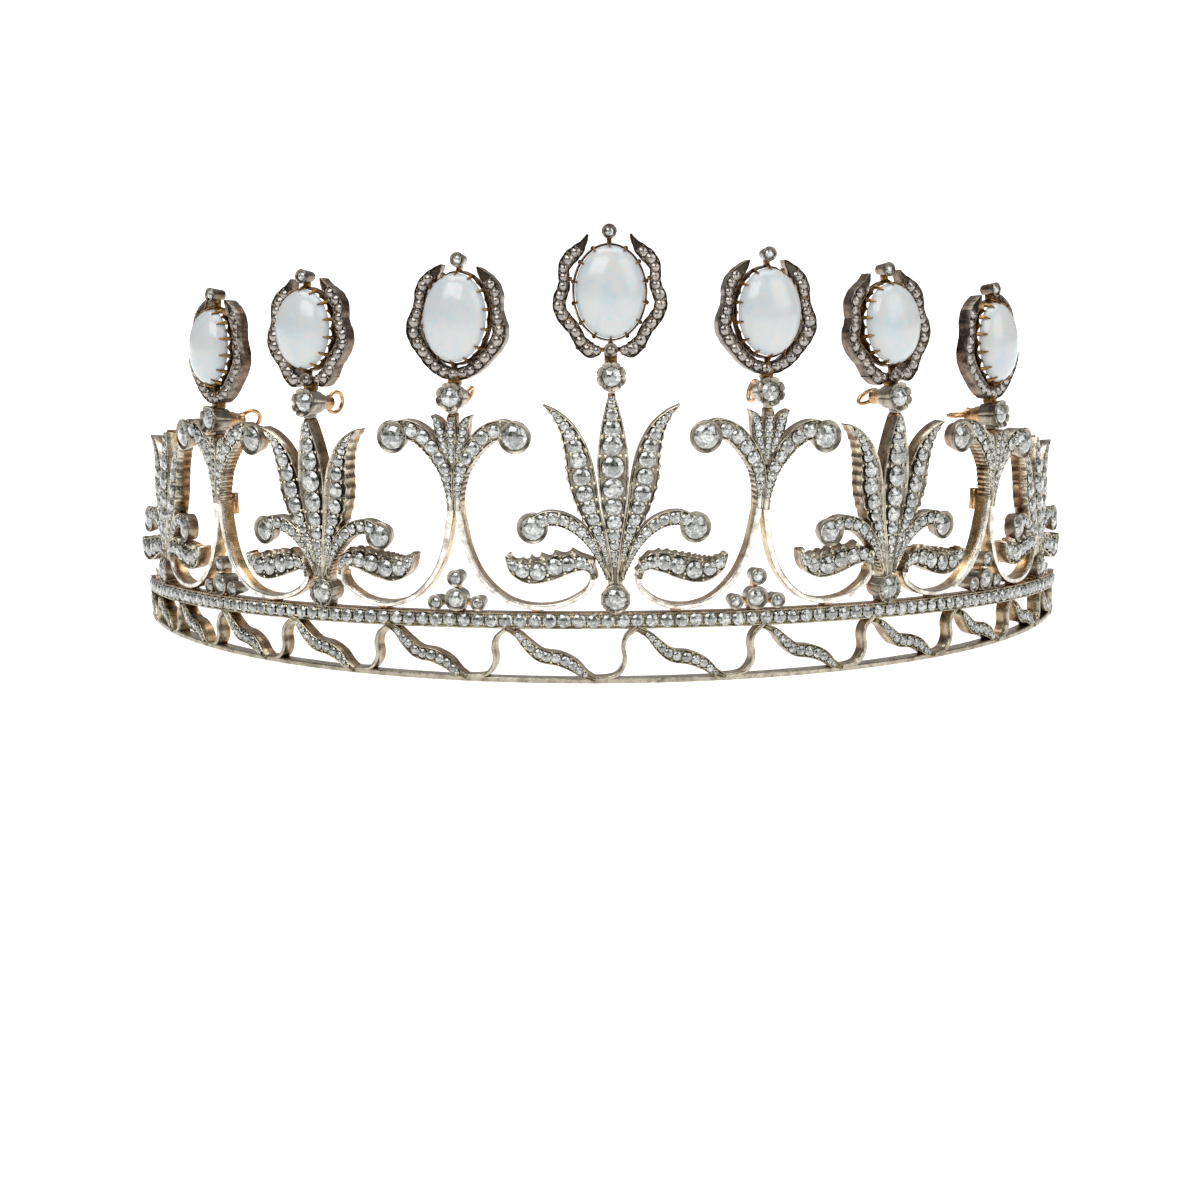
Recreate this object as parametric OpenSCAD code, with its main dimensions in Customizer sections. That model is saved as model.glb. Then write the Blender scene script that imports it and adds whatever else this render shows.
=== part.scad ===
// Opal tiara: an open band with a pierced gallery, palmettes and scroll pairs above it,
// and seven opals in garland heads that are screwed on from behind.
// X runs across, -Y points forward and Z up. The origin is under the middle of the
// band's front, on the surface that the band stands on.

/* [Band] */
// Radius of the band's plan at the middle of its metal
band_r = 73.9; // [72:0.1:77]
// Angle from the front to each end of the open band
band_half_angle = 78; // [77.5:0.1:79]
// Depth of the lower rail from front to back
lower_rail_d = 2.2; // [2:0.1:2.6]
// Height of the lower rail
lower_rail_h = 0.7; // [0.6:0.05:0.9]
// Depth of the upper rail from front to back
upper_rail_d = 2.4; // [2.2:0.1:2.8]
// Height of the upper rail
upper_rail_h = 2.4; // [2.2:0.1:2.6]
// Height of the upper rail's underside at the front
upper_rail_z = 7.7; // [7.4:0.1:8]
// How far the upper rail would drop by a quarter turn from the front
upper_rail_drop = 4.35; // [3.9:0.05:4.6]

/* [Gallery] */
// Angle of the wave's crest that is nearest the front
crest_start = 3.1; // [2.9:0.1:3.3]
// Angle from one crest to the next at the front
crest_pitch = 14.3; // [14.26:0.02:14.34]
// How fast the crests crowd together towards the ends
crest_crowding = 0.055; // [0.054:0.001:0.056]
// Distance between the stones of the upper rail
rail_stone_pitch = 2.05; // [2:0.01:2.2]
// Girdle radius of the upper rail's stones
rail_stone_r = 0.8; // [0.7:0.01:0.85]

/* [Motifs] */
// Angle by which the motifs lean outwards
flare = 1.7; // [1:0.1:2.5]
// Depth of the leaves
leaf_d = 2.6; // [2.4:0.1:2.8]
// Depth of the plain ribbons
ribbon_d = 2.2; // [2:0.1:2.4]
// Width of the raised rim round a set leaf
rim_w = 0.38; // [0.3:0.01:0.45]
// Depth of the set floor below the rim
floor_depth = 0.3; // [0.2:0.05:0.35]
// Height of the solder seats above the upper rail
seat_h = 0.15; // [0.1:0.05:0.3]
// Girdle radius of the stone at a palmette's foot
base_stone_r = 1.65; // [1.5:0.05:1.7]
// Girdle radius of the stones at the scrolls' ends
scroll_stone_r = 1.8; // [1.6:0.05:1.85]
// Bore radius of the fitting tubes behind the scroll pairs
tube_bore_r = 0.45; // [0.35:0.05:0.5]

/* [Heads] */
// Half the width of the front opal
opal_a = 4.85; // [4.7:0.05:4.95]
// Half the height of the front opal
opal_b = 6.4; // [6.2:0.05:6.45]
// Height of an opal's dome above its girdle
opal_dome = 2.7; // [2.4:0.1:3.2]
// Depth of an opal's underside below its girdle
opal_back = 1.5; // [1.3:0.1:1.7]
// Height of the front opal's centre above its collet stone
opal_rise = 11.65; // [11.5:0.05:11.8]
// Backward tilt of the heads against their motifs
head_tilt = 6; // [4:0.5:7]
// Girdle radius of the collet stone under each opal
collet_stone_r = 1.7; // [1.5:0.05:1.75]
// Number of claws round each opal
claws = 14; // [12:2:16]
// Radius of a claw's wire
claw_r = 0.24; // [0.2:0.01:0.28]
// Middle radius of a thumbscrew's ring
screw_ring_r = 1.5; // [1.4:0.1:1.8]

/* [Hidden] */
$fn = 48;

PALMETTES = [1 : 5];
SCROLL_PAIRS = [1 : 4];
HEADS = [1 : 7];

// Colours of the metals and stones
silver = [0.72, 0.70, 0.66];
dark_silver = [0.50, 0.47, 0.43];
gold = [0.80, 0.60, 0.36];
diamond = [0.88, 0.90, 0.92];
opal_white = [0.86, 0.90, 0.92];

gap = 0.06; // clearance between a stone and its setting
sink = 0.9; // height of a solder seat, most of it let into the rail
face_r = band_r + 1.1; // radius of the motifs' front faces
seat_drop = 2.3; // height of a collet stone above the seat of its head
palmette_top = 31; // height of the front palmette's seat
scroll_top = 28.4; // height of the front scroll pairs' seats
motif_gap = 21.5; // usual distance from a scroll pair's stem to the next palmette
loop_foot = 11.6; // distance of a loop's lowest point from its stem
curl_foot = 6.6; // distance of an end curl's lowest point from its palmette's middle
side_x = 4.4; // where a side leaf is tangent to the band's curve
low_x = 9; // where a low leaf is tangent to it
garland_low = 8.4; // depth of the garland's bottom below the opal's centre
nut_h = 1.7; // height of a thumbscrew's nut
shank_r = 0.54; // radius of its shank
rail_slope = asin(upper_rail_drop / band_r);
steps = 3; // straight pieces between two rows of an outline table
ring_fn = 180;

// Places of the motifs from one end to the other, one row each: angle round the band,
// sideways lean beyond the rail's own slope, height of the collet stone, width factor,
// stretch of the left and right scroll arms, lean outwards, how closely the leaves follow
// the band's curve
A = 0;
LEAN = 1;
COLLET_H = 2;
WIDTH = 3;
LEFT_ARM = 4;
RIGHT_ARM = 5;
FLARE = 6;
BEND = 7;
MOTIFS = [
    [-66.5, 0, 26.4, 0.92, 1, 1, flare - 4.5, -0.2],
    [-50.3, 2.4, 26.6, 1, 0.965, 0.96, flare, 1],
    [-33.1, -2.6, 29.5, 0.92, 1, 1, flare, 1],
    [-16.6, 0.5, 30.5, 1, 1, 1, flare, 1],
    [0.8, -0.9, 33.3, 1, 1, 1, flare, 1],
    [16.2, 2.6, 31, 1, 1, 0.985, flare, 1],
    [32.7, 1.2, 29.8, 0.92, 1, 1, flare, 1],
    [49.2, 2.7, 26.6, 1, 0.95, 0.88, flare, 1],
    [65, 0, 24.8, 0.9, 1, 1, flare - 4.5, 0.3],
];

// Heads, one row each: sideways lean against the motif, size factor of the garland, the
// opal's width, height and rise against the front one's, open garland or not, turn of the
// thumbscrew's ring, how far the head stands forward of its motif
HEAD_LEAN = 0;
HEAD_SIZE = 1;
OPAL_W = 2;
OPAL_H = 3;
RISE = 4;
OPEN_GARLAND = 5;
RING_TURN = 6;
FORWARD = 7;
HEAD_ROWS = [
    [-2.6, 0.925, 0.87, 0.865, 0.92, false, 65, 1.0],
    [1.3, 0.90, 0.955, 0.885, 0.90, true, 80, 0.4],
    [2.9, 0.965, 0.945, 0.97, 0.95, false, 60, 0.4],
    [0.4, 1.0, 1.0, 1.0, 1.0, true, 35, 0],
    [-2.8, 0.965, 0.945, 0.955, 0.95, false, 75, 0],
    [-6.5, 0.93, 0.955, 0.90, 0.90, true, 35, 0],
    [-4.2, 0.935, 0.87, 0.92, 0.92, false, 5, 0.5],
];

// Outline tables. Each row is a point on a middle line: across, up, half width
CENTRE_LEAF = [
    [0, 4.2, 0.5], [0, 6.5, 0.55], [0, 10, 0.95], [0, 14.5, 1.7], [0, 20.5, 2.25], [0, 25, 1.85],
    [0, 28.6, 1.1], [0, 30.6, 0.55],
];
SIDE_LEAF = [
    [0.7, 5.0, 0.5], [1.2, 8, 0.5], [2.2, 11.5, 0.95], [3.5, 15, 1.6], [4.4, 19, 2.0],
    [5.0, 22.5, 1.75], [6.2, 25.8, 1.2], [7.9, 28.1, 0.6], [9.6, 29.4, 0.12],
];
SCROLL_ARM = [
    [0.9, 4.9, 0.4], [1.8, 7, 0.42], [3.1, 9.7, 0.7], [4.9, 11.9, 0.95], [7.1, 13.2, 1.05],
    [9.4, 13.45, 1.1], [11.2, 12.6, 1.1],
];
LOW_LEAF = [
    [3.05, 4.7, 0.38], [3.3, 6.0, 0.55], [4.5, 7.05, 1.15], [6.6, 7.0, 1.5], [9.2, 6.3, 1.75],
    [11.8, 5.9, 1.75], [13.9, 6.5, 1.2], [15.4, 8.2, 0.12],
];
LOOP = [
    [0.45, 17, 0.5], [0.6, 14.5, 0.5], [0.85, 12.8, 0.5], [1.6, 9.2, 0.45], [2.9, 6.0, 0.42],
    [4.8, 3.5, 0.4], [7.1, 1.75, 0.38], [9.6, 0.9, 0.38], [12.2, 0.75, 0.38], [14.8, 1.25, 0.38],
    [17.2, 2.6, 0.38], [18.3, 4.0, 0.38], [18.45, 5.1, 0.38],
];
UPPER_ARM = [
    [0.7, 14.6, 0.6], [0.75, 17.5, 0.8], [1.1, 20.2, 1.1], [2.7, 23.0, 1.3], [4.9, 25.2, 1.4],
    [7.2, 26.0, 1.4], [9.0, 25.3, 1.2],
];
FLEUR_LEAF = [[0.3, 21.3, 0.3], [1.0, 23.5, 0.5], [1.75, 25.3, 0.65], [2.0, 26.8, 0.6], [2.7, 28.2, 0.12]];
FLEUR_MIDDLE = [[0, 20.6, 0.4], [0, 23.5, 0.6], [0, 26, 0.75], [0, 27.4, 0.6], [0, 28.0, 0.55]];
END_CURL = [
    [3.05, 5.1, 0.38], [2.9, 3.7, 0.38], [3.4, 2.2, 0.38], [4.8, 1.15, 0.38], [6.6, 0.9, 0.38],
    [8.2, 1.5, 0.38], [8.6, 2.5, 0.3],
];
WAVE_W = 17.2; // distance between the crests that the wave's tables are drawn for
WAVE_LEAF = [
    [0, 7.9, 0.4], [1.6, 6.9, 0.55], [2.9, 5.4, 0.8], [4.6, 3.95, 0.95], [6.9, 3.5, 1.0], [8.8, 2.6, 0.9],
    [10.3, 1.3, 0.6], [11.7, 0.6, 0.35],
];
WAVE_RIBBON = [
    [11.4, 0.65, 0.3], [13.4, 0.75, 0.3], [14.6, 1.2, 0.3], [15.4, 2.4, 0.3], [15.6, 3.7, 0.3],
    [15.4, 5.1, 0.3], [15.8, 6.6, 0.3], [17.2, 7.9, 0.35],
];
// Garland arms, from the opal's centre
CLOSED_ARM = [
    [2.7, 7.5, 0.12], [3.3, 6.8, 0.5], [4.2, 5.8, 0.85], [5.15, 4.7, 0.92], [5.7, 3.4, 0.86],
    [5.8, 1.9, 0.8], [6.05, 0.5, 0.86], [6.5, -0.9, 0.98], [6.55, -2.3, 1.02], [5.85, -3.8, 1],
    [4.75, -5.2, 0.95], [3.4, -6.7, 0.93], [1.8, -7.75, 0.9], [0, -8.1, 0.92],
];
OPEN_ARM = [
    [2.95, 8, 0.12], [3.45, 7, 0.45], [4.35, 5.85, 0.88], [5.5, 4.75, 1.02], [6.25, 3.6, 0.86],
    [6.35, 2.5, 0.78], [6.3, 1.5, 0.82], [6.45, 0.5, 0.9], [6.9, -0.6, 0.95], [7.05, -1.7, 0.93],
    [6.75, -2.8, 0.95], [6, -3.9, 1], [5.15, -4.9, 0.97], [4.6, -5.9, 0.92], [4.05, -6.9, 0.98],
    [2.9, -7.95, 1.12], [1.8, -8, 0.7],
];
OPEN_TIP = [[3.3, -7.2, 0.5], [4.0, -7.7, 0.4], [4.9, -7.6, 0.12]];

// Stones that keep a seat of their own, one row each: across, up, girdle radius
SCROLL_END = [11.5, 12.1, scroll_stone_r];
ARM_END = [9.1, 24.9, scroll_stone_r + 0.1];
PALMETTE_STONES = [[0, 23.4, 1.1], [0, 19.7, 1.45], [0, 16.1, 1.1], [4.75, 21.2, 1.15], [4.15, 18, 1.1]];
LOW_LEAF_STONES = [[5.9, 7.0, 0.95], [8.5, 6.5, 1.15], [11.2, 6.0, 1.2]];
TREFOIL = [[0, 1.85, 1.4], [0, 4.9, 0.95], [-3.1, 1.35, 0.85], [3.2, 1.35, 0.85]];
TOP_BEAD = [0, 8.35, 0.76];
FOOT_BEAD = [0, -7.95, 0.62];

// Fronts of the layers of metal, forward of the band's middle
centre_front = leaf_d / 2 + 0.2;
side_front = leaf_d / 2;
arm_front = leaf_d / 2 - 0.1;
low_front = ribbon_d / 2 + 0.1;
base_front = leaf_d / 2 + 0.5;
bead_front = 1.0;
bead_d = 2.6;
garland_front = -0.1;
garland_d = 2.0;
collet_front = 1.1;
collet_d = 3.4;
tube_back = -3.4;
scroll_end_d = 2; // depth of the collets at the ends of the scroll arms
arm_end_d = 2.2; // depth of the collets at the ends of the upper arms
trefoil_d = 2.8;
foot_bead_d = 1.6;
girdle_front = 0.5; // an opal's girdle, forward of the head's middle
collar_d = 1.4;
collar_in = 0.12; // the collar's inner and outer edges, outside an opal's girdle
collar_out = 0.62;

// Point on the smooth curve through four rows, at f from the second to the third
function spline(a, b, c, d, f) =
    0.5 * (2 * b + (c - a) * f + (2 * a - 5 * b + 4 * c - d) * f * f + (3 * b - a - 3 * c + d) * f * f * f);

// Table of a middle line, filled in with smooth points between its rows
function smooth(rows) = let (last = len(rows) - 1) concat(
    [for (i = [0 : last - 1], j = [0 : steps - 1]) spline(
        rows[max(i - 1, 0)], rows[i], rows[i + 1], rows[min(i + 2, last)], j / steps)],
    [rows[last]]
);

// Table stretched across by sx and up by sz, leaned over by s and moved back by x0
function fitted(rows, sx, sz, x0, s) = [for (r = rows) [r[0] * sx - x0 + s * r[1] * sz, r[1] * sz, r[2]]];

// Direction of a middle line at point i
function heading(p, i) =
    let (v = p[min(i + 1, len(p) - 1)] - p[max(i - 1, 0)]) [v[0], v[1]] / norm([v[0], v[1]]);

// Outline at the given half widths along a middle line. Teeth of a positive depth are cut
// in its left side, those of a negative depth in its right side
function outline(p, teeth = 0) = concat(
    [for (i = [0 : len(p) - 1]) let (h = heading(p, i), w = p[i][2] - max(teeth, 0) * (i % 2))
        [p[i][0] - h[1] * w, p[i][1] + h[0] * w]],
    [for (i = [len(p) - 1 : -1 : 0]) let (h = heading(p, i), w = p[i][2] + min(teeth, 0) * (i % 2))
        [p[i][0] + h[1] * w, p[i][1] - h[0] * w]]
);

// Part of a middle line that is wide enough for a floor inside its rim
function floor_line(p) = [for (r = p) if (r[2] - rim_w > 0.12) [r[0], r[1], r[2] - rim_w]];

// Height of the upper rail's underside and top, and its sideways slope, at angle a
function rail_under(a) = upper_rail_z - upper_rail_drop * (1 - cos(a));
function rail_top(a) = rail_under(a) + upper_rail_h;
function rail_lean(a) = atan(upper_rail_drop * sin(a) / band_r);

// Half the width and half the height of an opal, and its height above the collet stone
function opal_w(i) = opal_a * HEAD_ROWS[i - 1][OPAL_W];
function opal_h(i) = opal_b * HEAD_ROWS[i - 1][OPAL_H];
function rise(i) = opal_rise * HEAD_ROWS[i - 1][RISE];

// Angle of the gallery wave's crest i
function crest(i) = crest_start + crest_pitch * i - crest_crowding * pow(i, 3);

// Stretch of a motif's heights from those of the front ones
function stretch(m, top) = (m[COLLET_H] - seat_drop) / top;

// Turns what is made at the front round the band's axis
module turned(a) {
    translate([0, band_r, 0]) rotate([0, 0, a]) translate([0, -band_r, 0]) children();
}

// Moves what is made at the middle of a motif along the band's curve, as far as $bend says
module along(x) {
    translate([x * (1 - $bend), 0, 0]) turned($bend * x / face_r * 180 / PI) children();
}

// Frame of a motif on the upper rail. $lean is its sideways lean, as a slope, and $bend
// how closely it follows the band's curve
module at_motif(m) {
    $lean = tan(m[LEAN]);
    $bend = m[BEND];
    turned(m[A]) translate([0, 0, rail_top(m[A])])
        rotate([0, rail_lean(m[A]), 0]) rotate([m[FLARE], 0, 0]) children();
}

// Frame of a head at its collet stone's centre
module at_head(i) {
    h = HEAD_ROWS[i - 1];
    m = MOTIFS[i];
    at_motif(m) translate([$lean * m[COLLET_H], -h[FORWARD], m[COLLET_H]])
        rotate([0, m[LEAN] + h[HEAD_LEAN], 0]) rotate([-head_tilt, 0, 0]) children();
}

// Frame of an opal and its garland
module at_opal(i) {
    at_head(i) translate([0, 0, rise(i)]) children();
}

// Flat plate with its front face at the given distance forward of the band's middle
module plate(points, front, depth) {
    translate([0, depth - front, 0]) rotate([90, 0, 0]) linear_extrude(depth) polygon(points);
}

// Block that is centred on x and stands on z
module block(x, z, w, h) {
    translate([x - w / 2, 0.1 - ribbon_d / 2, z]) cube([w, ribbon_d - 0.2, h]);
}

// Set leaf: a plate with a raised rim, tangent to the band at x0
module leaf(rows, sx, sz, x0, front, depth, teeth = 0) {
    p = smooth(fitted(rows, sx, sz, x0, $lean));
    along(x0) difference() {
        plate(outline(p, teeth), front, depth);
        plate(outline(floor_line(p)), front + 1, floor_depth + 1);
    }
}

// Plain ribbon bent to the band's curve
module ribbon(rows, sx, sz) {
    p = outline(smooth(fitted(rows, sx, sz, 0, $lean)));
    intersection() {
        plate([for (r = p) [band_r * sin(r[0] / face_r * 180 / PI), r[1]]], 4, 12);
        translate([0, band_r, -1]) rotate([0, 0, -115]) rotate_extrude(angle = 50, $fn = ring_fn)
            translate([band_r - ribbon_d / 2, 0]) square([ribbon_d, 24]);
    }
}

// Turns a round piece made along Z to face forward at the given place of a motif
module facing(x, z) {
    along(x) translate([$lean * z, 0, z]) rotate([90, 0, 0]) children();
}

// Tube that holds a stone of girdle radius r, with its rim at the given front
module collet_body(r, front, depth) {
    translate([0, 0, front - depth]) cylinder(h = depth, r1 = r * 0.95, r2 = r + 0.32);
}

// Bore of that tube, with the seat of its stone
module collet_bore(r, front, depth) {
    seat = 0.3;
    bevel = 0.24 * r;
    translate([0, 0, front - depth - 0.5]) cylinder(h = depth + 1, r = r * 0.76);
    translate([0, 0, front - seat - bevel]) cylinder(h = bevel, r1 = r * 0.76, r2 = r + gap);
    translate([0, 0, front - seat]) cylinder(h = 2, r = r + gap);
}

// Cut stone with a table, eight crown facets and eight pavilion facets
module cut_stone(r, front) {
    ring = [for (i = [0 : 7]) [cos(45 * i), sin(45 * i)]];
    girdle = front - 0.12;
    points = concat(
        [for (p = ring) [p[0] * r * 0.56, p[1] * r * 0.56, girdle + 0.32 * r]],
        [for (p = ring) [p[0] * r, p[1] * r, girdle]],
        [[0, 0, girdle - 0.85 * r]]
    );
    polyhedron(points, concat(
        [[7, 6, 5, 4, 3, 2, 1, 0]],
        [for (i = [0 : 7]) [i, (i + 1) % 8, 8 + (i + 1) % 8, 8 + i]],
        [for (i = [0 : 7]) [8 + i, 8 + (i + 1) % 8, 16]]
    ));
}

// Flat-backed stone on a set floor, with a table and eight facets
module floor_stone(r, front) {
    ring = [for (i = [0 : 7]) [cos(45 * i), sin(45 * i)]];
    points = concat(
        [for (p = ring) [p[0] * r * 0.5, p[1] * r * 0.5, front + 0.25 * r]],
        [for (p = ring) [p[0] * r, p[1] * r, front + gap - floor_depth]]
    );
    polyhedron(points, concat(
        [[7, 6, 5, 4, 3, 2, 1, 0], [8, 9, 10, 11, 12, 13, 14, 15]],
        [for (i = [0 : 7]) [i, (i + 1) % 8, 8 + (i + 1) % 8, 8 + i]]
    ));
}

// What is made on the right, and its mirror image
module pair() {
    children();
    mirrored() children();
}

// Mirror image, leaned the same way
module mirrored() {
    $lean = -$lean;
    mirror([1, 0, 0]) children();
}

// Sweeps a section along the band
module rail_arc() {
    rotate([0, 0, -90 - band_half_angle])
        rotate_extrude(angle = 2 * band_half_angle, $fn = ring_fn) children();
}

// Tilted ring of the upper rail, round its own centre
module rail_frame() {
    translate([0, band_r, upper_rail_z - upper_rail_drop]) rotate([-rail_slope, 0, 0]) children();
}

module upper_rail() {
    edge = 0.25;
    d = upper_rail_d / 2;
    lip = upper_rail_h / 2 - rail_stone_r - gap;
    rail_frame() rail_arc() difference() {
        translate([band_r, 0]) polygon([
            [-d, edge], [edge - d, 0], [d - edge, 0], [d, edge],
            [d, upper_rail_h - edge], [d - edge, upper_rail_h],
            [edge - d, upper_rail_h], [-d, upper_rail_h - edge],
        ]);
        translate([band_r + d - floor_depth, lip]) square([2, upper_rail_h - 2 * lip]);
    }
}

module lower_rail() {
    translate([0, band_r, 0]) rail_arc() translate([band_r - lower_rail_d / 2, 0])
        square([lower_rail_d, lower_rail_h]);
}

// One wave between two crests: a set leaf down to the lower rail and a plain ribbon up again
module wave(i) {
    $lean = 0;
    $bend = 1;
    sx = (crest(i + 1) - crest(i)) * PI / 180 * face_r / WAVE_W;
    sz = rail_under((crest(i) + crest(i + 1)) / 2) / upper_rail_z;
    x0 = 14.6 * sx;
    turned(crest(i)) {
        leaf(WAVE_LEAF, sx, sz, 5.8 * sx, ribbon_d / 2, ribbon_d - 0.1);
        along(x0)
            plate(outline(smooth(fitted(WAVE_RIBBON, sx, sz, x0, 0))), ribbon_d / 2 - 0.05, ribbon_d - 0.1);
    }
}

// Solder seats of the motifs on the upper rail
module seats() {
    for (m = MOTIFS) at_motif(m) seat(1.7);
    for (i = SCROLL_PAIRS) at_motif(MOTIFS[2 * i - 1]) pair() along(loop_foot) seat(1.4);
    for (i = [0, 8]) at_motif(MOTIFS[i]) along(sign(i - 4) * curl_foot * MOTIFS[i][WIDTH]) seat(1.2);
}

module seat(w) {
    translate([-w / 2, -0.5, seat_h - sink]) cube([w, 1.5, sink]);
}

module end_bars() {
    for (side = [-1, 1]) turned(side * (band_half_angle - 0.5))
        block(0, 0.1, 1.1, rail_under(band_half_angle) + 0.5);
}

module gallery() {
    color(silver) {
        lower_rail();
        upper_rail();
        for (i = [-7 : 5]) wave(i);
        end_bars();
        seats();
    }
}

// Foot of a motif, soldered to its seat on the rail
module foot(w) {
    block(0, seat_h, w, 0.7);
}

module palmette(i) {
    m = MOTIFS[2 * i - 2];
    sx = m[WIDTH];
    sz = stretch(m, palmette_top);
    top = m[COLLET_H] - seat_drop;
    end_x = SCROLL_END[0] * sx;
    end_z = SCROLL_END[1] * sz;
    base_z = seat_h + base_stone_r + 0.32;
    color(silver) at_motif(m) difference() {
        union() {
            leaf(CENTRE_LEAF, sx, sz, 0, centre_front, leaf_d);
            pair() {
                leaf(SIDE_LEAF, sx, sz, side_x * sx, side_front, leaf_d - 0.3, -0.15);
                leaf(SCROLL_ARM, sx, sz, 6 * sx, arm_front, leaf_d - 0.4);
                facing(end_x, end_z) collet_body(SCROLL_END[2] * sx, arm_front + 0.1, scroll_end_d);
            }
            if (i == 1) mirrored() end_scroll(sx, sz);
            if (i == 5) end_scroll(sx, sz);
            facing(0, base_z) collet_body(base_stone_r, base_front, leaf_d + 1);
            foot(1.8);
            block(0, base_z + base_stone_r - 0.2, 2.6, 1.4);
            block($lean * top, top - 1.2, 1.1, 1.2);
        }
        pair() facing(end_x, end_z) collet_bore(SCROLL_END[2] * sx, arm_front + 0.1, scroll_end_d);
        facing(0, base_z) collet_bore(base_stone_r, base_front, leaf_d + 1);
    }
}

// Low leaf and curl that close the band's end, beyond the last palmette
module end_scroll(sx, sz) {
    leaf(LOW_LEAF, sx, sz, low_x * sx, low_front, ribbon_d, 0.2);
    block(1.8 * sx, 4.7 * sz, 3.2 * sx, 0.9);
    ribbon(END_CURL, sx, sz);
    along(curl_foot * sx) foot(1.2);
}

// Distance along the band from motif k to the next on the given side
function spacing(k, side) = abs(MOTIFS[k + side][A] - MOTIFS[k][A]) * PI / 180 * face_r;

// Loop of a scroll pair, which ends in the low leaf of the palmette at the given distance
module loop(distance, sz) {
    ribbon(LOOP, distance / motif_gap, sz);
    along(distance) mirrored() leaf(LOW_LEAF, 1, sz, low_x, low_front, ribbon_d, 0.2);
    along(loop_foot) foot(1.4);
}

// Upper arm of a scroll pair, with the collet at its end
module arm(sz) {
    leaf(UPPER_ARM, 1, sz, 4, arm_front, leaf_d - 0.4, -0.12);
    at_arm_end(sz) collet_body(ARM_END[2], arm_front + 0.1, arm_end_d);
}

module at_arm_end(sz) {
    facing(ARM_END[0], ARM_END[1] * sz) children();
}

// Fitting tube behind a scroll pair's stem, with the wedge that braces it
module fitting_tube(sz) {
    z = 14.2 * sz;
    r = tube_bore_r + 0.28;
    h = 3.1;
    translate([$lean * z, 0, z]) {
        difference() {
            union() {
                translate([0, ribbon_d / 2 + r + 0.1, 0]) cylinder(h = h, r = r);
                translate([-0.4, 0.2, 0.1]) cube([0.8, ribbon_d / 2 + 0.3, h - 0.2]);
            }
            translate([0, ribbon_d / 2 + r + 0.1, -1]) cylinder(h = h + 2, r = tube_bore_r);
        }
    }
}

module scroll_pair(i) {
    k = 2 * i - 1;
    m = MOTIFS[k];
    sz = stretch(m, scroll_top);
    top = m[COLLET_H] - seat_drop;
    color(silver) at_motif(m) difference() {
        union() {
            loop(spacing(k, 1), sz);
            mirrored() loop(spacing(k, -1), sz);
            arm(m[RIGHT_ARM]);
            mirrored() arm(m[LEFT_ARM]);
            pair() leaf(FLEUR_LEAF, 1, sz, 1.2, side_front, leaf_d - 0.6);
            leaf(FLEUR_MIDDLE, 1, sz, 0, centre_front, leaf_d - 0.2);
            block($lean * top, top - 1.5, 1.3, 1.5);
            fitting_tube(sz);
        }
        at_arm_end(m[RIGHT_ARM]) collet_bore(ARM_END[2], arm_front + 0.1, arm_end_d);
        mirrored() at_arm_end(m[LEFT_ARM]) collet_bore(ARM_END[2], arm_front + 0.1, arm_end_d);
    }
}

module trefoil(i) {
    m = MOTIFS[2 * i - 1];
    color(silver) at_motif(m) difference() {
        union() {
            for (t = TREFOIL) facing(t[0], t[1]) collet_body(t[2], base_front - 0.2, trefoil_d);
            foot(1.8);
            translate([-0.4, -0.8, 3]) cube([0.8, 1.6, 1.2]);
            translate([-2.6, -0.8, 0.9]) cube([5.2, 1.6, 0.8]);
        }
        for (t = TREFOIL) facing(t[0], t[1]) collet_bore(t[2], base_front - 0.2, trefoil_d);
    }
}

// Both arms of a closed garland as one line, from tip to tip
function tip_to_tip(rows) = concat(
    [for (r = rows) [-r[0], r[1], r[2]]],
    [for (n = [len(rows) - 2 : -1 : 0]) rows[n]]
);

// Garland round an opal of size s
module garland(s, open) {
    $lean = 0;
    $bend = 1;
    if (!open) leaf(tip_to_tip(CLOSED_ARM), s, s, 0, garland_front, garland_d);
    if (open) {
        pair() leaf(OPEN_ARM, s, s, 0, garland_front, garland_d);
        pair() plate(outline(smooth(fitted(OPEN_TIP, s, s, 0, 0))), garland_front, garland_d);
        translate([-1.8 * s, 0.4, (FOOT_BEAD[1] - 0.3) * s]) cube([3.6 * s, 1.2, 0.7 * s]);
    }
}

// Ellipse round the girdle of opal i, wider by w
module girdle(i, w) {
    scale([opal_w(i) + w, opal_h(i) + w]) circle(r = 1);
}

// Collar and claws that hold opal i
module claw_collar(i) {
    back = opal_back + 0.2;
    translate([0, -girdle_front, 0]) rotate([90, 0, 0]) {
        translate([0, 0, -back]) linear_extrude(collar_d) difference() {
            girdle(i, collar_out);
            girdle(i, collar_in);
        }
        for (n = [0 : claws - 1]) claw(i, 360 * (n + 0.5) / claws, back - 0.3);
    }
}

// Claw at angle a, from the collar over the opal's edge
module claw(i, a, back) {
    out = claw_r + 0.12;
    spread = 0.35; // how much further out the claw's root is
    tip = 0.75;
    lean_in = sqrt(1 - pow(tip / opal_dome, 2));
    start = [(opal_w(i) + out + spread) * cos(a), (opal_h(i) + out + spread) * sin(a), -back];
    end = [(opal_w(i) * lean_in + out) * cos(a), (opal_h(i) * lean_in + out) * sin(a), tip];
    way = end - start;
    translate(start) rotate([0, acos(way[2] / norm(way)), atan2(way[1], way[0])])
        cylinder(h = norm(way), r = claw_r, $fn = 24);
}

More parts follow.
